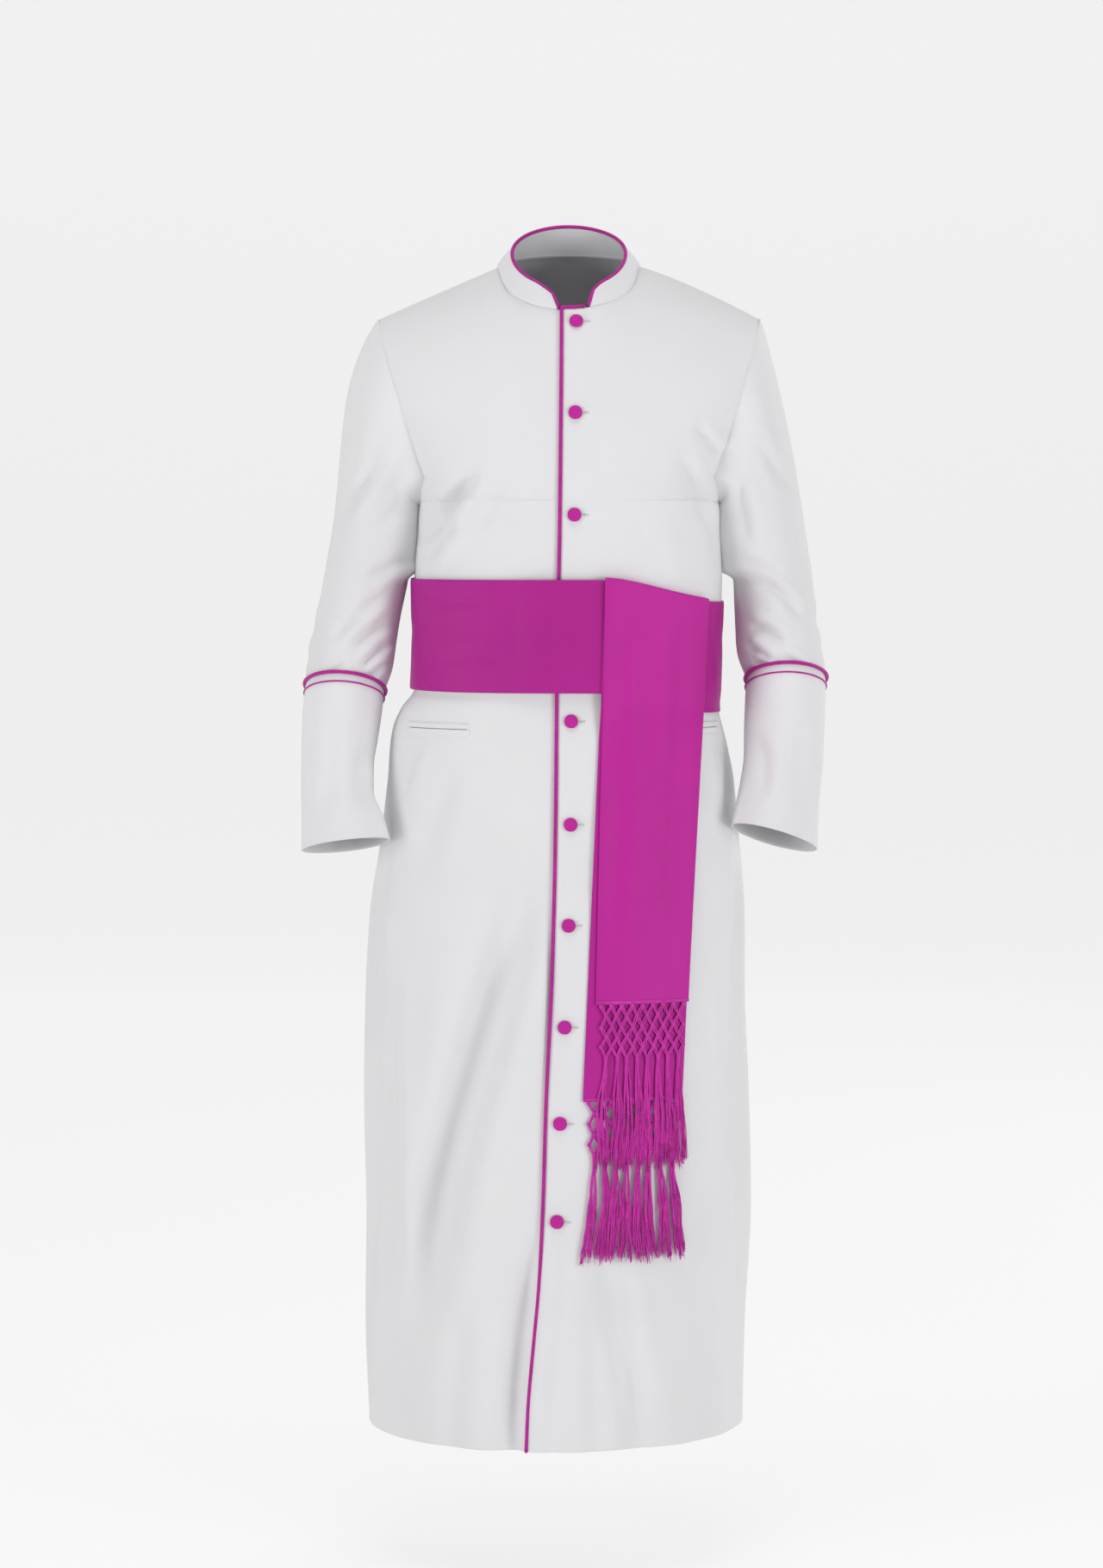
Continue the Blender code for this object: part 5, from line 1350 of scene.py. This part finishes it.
band_satin = satin("band satin", SATIN_DARK)
points = band_points()
normals = grid_normals(points, closed=True)
u, v = cloth_rule(points, closed=True)
edge_gap = np.minimum(v[:, :-1], v[-1:, :-1] - v[:, :-1])
relief = crease_relief(points, normals, BAND_CREASES) + drift(points, size=0.040, amount=0.0004)
relief += -BAND_EDGE_ROLL * ramp(1 - edge_gap / BAND_EDGE_WIDTH)
relief += stitch_dent(edge_gap, BAND_STITCH_INSET)
points = points + normals * relief[..., None]
band = sew_sheet(
    "band_satin_cloth", points, band_satin, BAND_CLOTH, "band",
    closed=True, lining=band_satin,
)


# Falls and fringes
# Two ends of the band's satin are tucked over its top edge and hang in front, the upper one
# shorter. Each ends in a knotted net of cords and a row of tassels of loose thread.
Fall = namedtuple("Fall", "layer top_left top_right low_left low_right low_z")
FALLS = {
    "under": Fall(0, 0.0405, 0.1520, 0.0150, 0.1245, -0.9330),
    "upper": Fall(1, 0.0395, 0.1530, 0.0290, 0.1300, -0.8240),
}
FALL_CLOTH = 0.0014
FALL_OFFSET = 0.0056
FALL_LAYER = 0.0028
FALL_RELEASE = 0.06
FALL_RELEASE_FADE = 0.05
FALL_EDGE_ROLL = 0.0005
FALL_EDGE_WIDTH = 0.0018
FALL_STITCH_INSET = 0.0042
FALL_CREASE_SHARE = {"under": 0.4, "upper": 1.0}
SPACE = 0.0006
FALL_COLUMNS = 44
FALL_ROW = 0.0042
FALL_TOP = (-0.0004, 0.0012)
TURN_RISE = 0.0012
TURN_ROWS = 10
TUCK_STEP = 0.010
FALL_CREASES = (
    Crease("front", [(0.060, -0.350), (0.058, -0.460), (0.054, -0.640), (0.050, -0.800)],
           0.0100, 0.0012, 0.4),
    Crease("front", [(0.128, -0.370), (0.124, -0.480), (0.116, -0.660), (0.108, -0.820)],
           0.0110, 0.0013, 0.4),
    Crease("front", [(0.090, -0.360), (0.092, -0.480), (0.086, -0.600)], 0.0130, 0.0008, 0.3),
    Crease("front", [(0.046, -0.480), (0.044, -0.530), (0.042, -0.600)], 0.0080, 0.0008, 0.4),
)
HEADING = 0.0045
NET_LEVELS = 5
NET_KNOTS = 9
NET_HEIGHT = 0.058
NET_REACH = 0.75
HEADING_ROWS = 3
HEADING_DRIFT = 0.0003
HEADING_KNOT = 1.15
LOCK_DROP = {"upper": 0.130, "under": 0.124}
TIP_SPREAD = {"upper": 0.008, "under": 0.024}
CORD_RADIUS = 0.00098
CORD_POINTS = 7
CORD_BOW = 0.00080
CORD_APART = 0.0003
CORD_SAG = 0.0006
CORD_CROSSING = 0.0005
CORD_LIFT = 0.0002
KNOT_RADIUS = 0.0025
KNOT_DRIFT = 0.0008
KNOT_DROP_DRIFT = 0.0006
KNOT_SIDES = 9
WRAPS = 4
WRAP_START = 0.0022
WRAP_STEP = 0.0017
LOCKS = 4
THREADS_IN_LOCK = 15
THREAD_POINTS = 17
THREAD_TAPER = 0.30
LOCK_LEAN = 0.30
LOCK_FAN = 0.52
THREAD_RADIUS = 0.00052
TASSEL_NECK = 0.008
FRINGE_DEPTH = 0.0024
THREAD_COLOUR = (0.800, 0.0470, 0.535)


def fall_place(layer, x, z, extra=0.0):
    """Points of a fall's or a fringe's inner face, hanging in front of the skirt."""
    x, z = np.broadcast_arrays(np.asarray(x, float), np.asarray(z, float))
    on_band = band_stand(x, z) + BAND_CLOTH + SPACE
    share = ramp((z - band_top(x) + BAND_WIDTH + FALL_RELEASE) / FALL_RELEASE_FADE)
    offset = between(FALL_OFFSET, on_band, share) + layer * FALL_LAYER + extra
    return off_body(1, front_angle(x, z), z, offset)


def fall_side(fall, z, side):
    share = (BAND_TOP_Z - z) / (BAND_TOP_Z - fall.low_z)
    first, last = (fall.top_left, fall.low_left) if side < 0 else (fall.top_right, fall.low_right)
    return between(first, last, share)


def fall_points(fall):
    across = np.linspace(0, 1, FALL_COLUMNS + 1)
    top_z = band_top(between(fall.top_left, fall.top_right, across)) + FALL_TOP[fall.layer]
    count = int((top_z[0] - fall.low_z) / FALL_ROW)
    rows = []
    for down in np.linspace(0, 1, count + 1):
        z = between(top_z, fall.low_z, down)
        x = between(fall_side(fall, z, -1), fall_side(fall, z, 1), across)
        rows.append(fall_place(fall.layer, x, z))
    turned = []
    half_turn = (BAND_CLOTH + SPACE * 1.5 + fall.layer * FALL_LAYER) / 2
    for angle in np.linspace(np.pi, 0, TURN_ROWS + 1)[:-1]:
        rise = TURN_RISE * math.sin(angle)
        turned.append(rows[0] + np.array([0.0, half_turn * (1 - math.cos(angle)), rise]))
    tucked = [turned[0] + np.array([0.0, 0.0, -TUCK_STEP * k]) for k in (1.0, 0.5)]
    return np.stack(tucked + turned + rows)


def knot_ball(centre, radius, turn, rings=7):
    """Small wrapped knot: a flattened ball with slanting turns of cord round it."""
    tilt = np.linspace(0.06, np.pi - 0.06, rings)[:, None]
    angle = np.arange(KNOT_SIDES) * 2 * np.pi / KNOT_SIDES
    swell = 1 + 0.10 * np.sin(3 * angle + 4 * tilt + turn)
    x = np.sin(tilt) * np.cos(angle) * radius * swell
    y = np.sin(tilt) * np.sin(angle) * radius * 0.78 * swell
    z = np.cos(tilt) * radius * 1.12 + 0 * angle
    return centre + np.stack([x, y, z], axis=-1)


def join_grids(name, grids):
    """One mesh of several closed grids."""
    verts, faces, maps = [], [], []
    for grid in grids:
        height, width = grid.shape[:2]
        start = sum(len(part) for part in verts)
        verts.append(grid.reshape(-1, 3))
        u, v = cloth_rule(grid, closed=True)
        for i in range(height - 1):
            for j in range(width):
                corners = [(i, j), (i, j + 1), (i + 1, j + 1), (i + 1, j)]
                faces.append([start + row * width + column % width for row, column in corners])
                maps += [(u[row, column], v[row, column]) for row, column in corners]
    mesh = bpy.data.meshes.new(name)
    mesh.from_pydata(np.concatenate(verts).tolist(), [], faces)
    layer = mesh.uv_layers.new(name="cloth")
    layer.data.foreach_set("uv", np.array(maps, dtype=np.float32).ravel())
    mesh.shade_smooth()
    return mesh


def net_knots(width, rng):
    """Knots of the net by level, from the heading down to the tassels, tied a little unevenly."""
    pitch = width / NET_KNOTS
    step = NET_HEIGHT / NET_LEVELS
    levels = []
    for level in range(NET_LEVELS + 1):
        shift, count = (0.5, NET_KNOTS) if level % 2 == 0 else (1.0, NET_KNOTS - 1)
        slack = KNOT_DRIFT if level else HEADING_DRIFT
        knots = []
        for k in range(count):
            u = pitch * (k + shift) + rng.uniform(-slack, slack)
            v = -HEADING - step * level + rng.uniform(-slack, slack)
            knots.append((u, v))
        levels.append(knots)
    return levels


def fringe_parts(name, fall, rng):
    """Cords, knots and threads of one fringe, as lines and balls in space."""
    top_z = fall.low_z - GAP
    left = fall_side(fall, top_z, -1)
    width = fall_side(fall, top_z, 1) - left
    pitch = width / NET_KNOTS

    def place(u, v, depth=0.0):
        x, z = left + np.asarray(u), top_z + np.asarray(v)
        return fall_place(fall.layer, x, z, FRINGE_DEPTH / 2 + np.asarray(depth))

    levels = net_knots(width, rng)
    cords, balls, threads, radii = [], [], [], []
    for knots, below in zip(levels, levels[1:]):
        for u, v in knots:
            for low_u, low_v in below:
                if abs(low_u - u) >= pitch * NET_REACH:
                    continue
                t = np.linspace(0, 1, CORD_POINTS)
                for lane in (-1, 1):
                    bow = lane * CORD_BOW * np.sin(np.pi * t) + lane * CORD_APART
                    bow = bow + rng.uniform(-CORD_APART, CORD_APART)
                    sag = CORD_SAG * np.sin(np.pi * t)
                    depth = lane * CORD_CROSSING * np.cos(np.pi * t) + CORD_LIFT
                    across, down = between(u, low_u, t) + bow, between(v, low_v, t) - sag
                    cords.append(place(across, down, depth))
    for level, knots in enumerate(levels):
        for u, v in knots:
            size = KNOT_RADIUS * (HEADING_KNOT if level == 0 else 1.0) * rng.uniform(0.9, 1.1)
            centre = place(u, v + rng.uniform(-KNOT_DROP_DRIFT, KNOT_DROP_DRIFT))
            balls.append(knot_ball(centre, size, rng.uniform(0, 6)))
    for number, (middle, v) in enumerate(levels[-1]):
        for wrap in range(WRAPS):
            drop = v - WRAP_START - wrap * WRAP_STEP
            size = KNOT_RADIUS * (1.02 - 0.05 * wrap)
            balls.append(knot_ball(place(middle, drop), size, wrap * 1.7, rings=5))
        t = np.linspace(0, 1, THREAD_POINTS)
        lean = rng.uniform(-LOCK_LEAN, LOCK_LEAN) * pitch * np.sin(np.pi * t) ** 2
        for lock in range(LOCKS):
            share = (lock + 0.5) / LOCKS * 2 - 1
            opening = ramp((t + 0.10) / rng.uniform(0.42, 0.75))
            twist = rng.uniform(0.0003, 0.0010) * np.sin(t * rng.uniform(6, 11) + rng.uniform(0, 6))
            twist = twist * opening
            fan = share * pitch * LOCK_FAN + (middle / width - 0.5) * TIP_SPREAD[name] * t
            fan = fan + rng.uniform(-0.0008, 0.0008)
            line = middle + share * 0.0008 * (1 - opening) + fan * opening * (0.70 + 0.30 * t)
            line = line + lean + twist
            lock_depth = rng.uniform(-0.0007, 0.0009) * opening
            lock_reach = LOCK_DROP[name] * (0.955 + 0.035 * math.cos(2.4 * number + 1.7 * lock))
            for thread in range(THREADS_IN_LOCK):
                reach = lock_reach * rng.uniform(0.93, 1.025)
                spread = rng.uniform(-1, 1) * (0.0005 + 0.0013 * opening * t)
                sway = rng.uniform(-1, 1) * 0.0009
                sway = sway * np.sin(t * rng.uniform(4, 10) + rng.uniform(0, 6)) * t
                turn = 0.0003 * np.sin(t * 16 + thread * 0.8)
                depth = lock_depth + rng.uniform(-1, 1) * (0.0006 + 0.0007 * opening)
                depth = depth + 0.0003 * np.cos(t * 16 + thread * 0.8)
                fallen = v - TASSEL_NECK - t * (reach - TASSEL_NECK) + 0.001
                threads.append(place(line + spread + sway + turn, fallen, depth))
                radii.append(THREAD_RADIUS * (1 - THREAD_TAPER * t**3))
    return cords, balls, threads, radii, place, width


# Painted shade: the under fall's satin is toned darker than the upper fall's, for the shade it
# hangs in behind the upper fall and its fringe
fall_satins_with_painted_shade = {
    "under": satin("under fall satin painted shade", tone(MAGENTA, 0.97)),
    "upper": satin("upper fall satin", tone(MAGENTA, 1.05)),
}
fringe_thread = thread_finish("fringe thread", THREAD_COLOUR)
net_thread = thread_finish("net thread", tone(THREAD_COLOUR, 0.80))
rng = np.random.default_rng(7)
for name, fall in FALLS.items():
    cords, balls, threads, radii, place, width = fringe_parts(name, fall, rng)
    heading_u = np.linspace(0, width, CORD_POINTS)
    cords += [
        place(heading_u, np.full(CORD_POINTS, -0.0010 * k - 0.0004), 0.0003 * (k % 2))
        for k in range(HEADING_ROWS)
    ]
    cord_radii = np.full((len(cords), CORD_POINTS), CORD_RADIUS)
    cord_mesh = strands(f"fringe_{name}_net", cords, cord_radii, sides=5)
    net = add_piece(f"fringe_{name}_net", cord_mesh, net_thread, f"fringe_{name}")
    knot_mesh = join_grids(f"fringe_{name}_knots", balls)
    knots = add_piece(f"fringe_{name}_knots", knot_mesh, net_thread, None)
    locks = strands(f"fringe_{name}_threads", threads, radii)
    tassels = add_piece(f"fringe_{name}_threads", locks, fringe_thread, None)

    points = fall_points(fall)
    normals = grid_normals(points, flip=True)
    u, v = cloth_rule(points)
    side_gap = np.minimum(u, u[:, -1:] - u)
    relief = crease_relief(points, normals, FALL_CREASES) * FALL_CREASE_SHARE[name]
    swell = drift(points, size=0.060, amount=0.0004, turn=2.0)
    relief += swell - FALL_EDGE_ROLL * ramp(1 - side_gap / FALL_EDGE_WIDTH)
    relief += stitch_dent(side_gap, FALL_STITCH_INSET)
    points = points + normals * relief[..., None]
    cloth = sew_sheet(
        f"fall_{name}_cloth", points, fall_satins_with_painted_shade[name], FALL_CLOTH, f"fall_{name}",
        flip=True, lining=fall_satins_with_painted_shade[name],
    )


# Studio
# A pale sweep of paper under and behind the robe, lit by four large soft lights that stay out
# of the picture. The camera stands in front of the robe and looks slightly down from its chest.
FLOOR_Z = -1.480
PAPER = (0.22, 0.22, 0.22)
PAPER_GLOW = 0.732
FLOOR_REACH = 40.0
SWEEP_START = 5.5
SWEEP_RADIUS = 2.5
SWEEP_POINTS = 24
WALL_TOP_Z = 9.0
AIR_LIGHT = 0.28
CAMERA_X = -0.020
CAMERA_Z = -0.247
CAMERA_DISTANCE = 5.0
CAMERA_TILT_DEG = 3.92
IMAGE_HEIGHT = 1820
FOCAL_POINTS = 5025
SENSOR = 36.0
Light = namedtuple("Light", "name place aim size power")
LIGHTS = (
    Light("key", (-3.1, -2.3, -0.3), (0, 0, -0.8), 1.5, 46),
    Light("fill", (3.0, -2.8, -0.6), (0, 0, -0.85), 1.6, 52),
    Light("top", (0, -1.0, 2.9), (0, 0, -0.4), 2.2, 46),
    Light("rear", (2.7, 3.3, 0.8), (0, 0, -0.7), 1.4, 26),
)


def paper():
    recipe = Recipe("backdrop paper", roughness=0.95)
    recipe.shader.inputs["Emission Color"].default_value = (1.0, 1.0, 1.0, 1.0)
    recipe.shader.inputs["Emission Strength"].default_value = PAPER_GLOW
    grain = recipe.noise(scale=60.0, detail=4.0)
    shade = recipe.colours(grain, [(0.2, tone(PAPER, 0.995)), (0.8, PAPER)])
    return recipe.finish(shade, grain, depth=0.0002)


floor_run = [(-FLOOR_REACH, FLOOR_Z), (SWEEP_START, FLOOR_Z)]
for angle in np.linspace(0, np.pi / 2, SWEEP_POINTS):
    y = SWEEP_START + SWEEP_RADIUS * math.sin(angle)
    floor_run.append((y, FLOOR_Z + SWEEP_RADIUS * (1 - math.cos(angle))))
floor_run.append((SWEEP_START + SWEEP_RADIUS, WALL_TOP_Z))
wide = np.linspace(-FLOOR_REACH, FLOOR_REACH, 3)
points = np.array([[(x, y, z) for x in wide] for y, z in floor_run])
u, v = cloth_rule(points)
floor = bpy.data.objects.new("backdrop", grid_mesh("backdrop", points, u, v))
bpy.context.scene.collection.objects.link(floor)
floor.data.materials.append(paper())


for light in LIGHTS:
    lamp = bpy.data.lights.new(light.name, "AREA")
    lamp.shape = "DISK"
    lamp.size = light.size
    lamp.energy = light.power
    item = bpy.data.objects.new(light.name, lamp)
    bpy.context.scene.collection.objects.link(item)
    item.location = light.place
    item.visible_camera = False
    beam = Vector(light.aim) - Vector(light.place)
    item.rotation_euler = beam.to_track_quat("-Z", "Y").to_euler()

world = bpy.data.worlds.new("studio air")
world.use_nodes = True
world.node_tree.nodes["Background"].inputs[0].default_value = (1.0, 1.0, 1.0, 1.0)
world.node_tree.nodes["Background"].inputs[1].default_value = AIR_LIGHT
bpy.context.scene.world = world
bpy.context.scene.view_settings.view_transform = "Standard"

lens = bpy.data.cameras.new("camera")
lens.sensor_width = SENSOR
lens.lens = FOCAL_POINTS / IMAGE_HEIGHT * SENSOR
camera = bpy.data.objects.new("camera", lens)
bpy.context.scene.collection.objects.link(camera)
camera.location = (CAMERA_X, -CAMERA_DISTANCE, CAMERA_Z)
camera.rotation_euler = (math.radians(90 - CAMERA_TILT_DEG), 0.0, 0.0)
bpy.context.scene.camera = camera
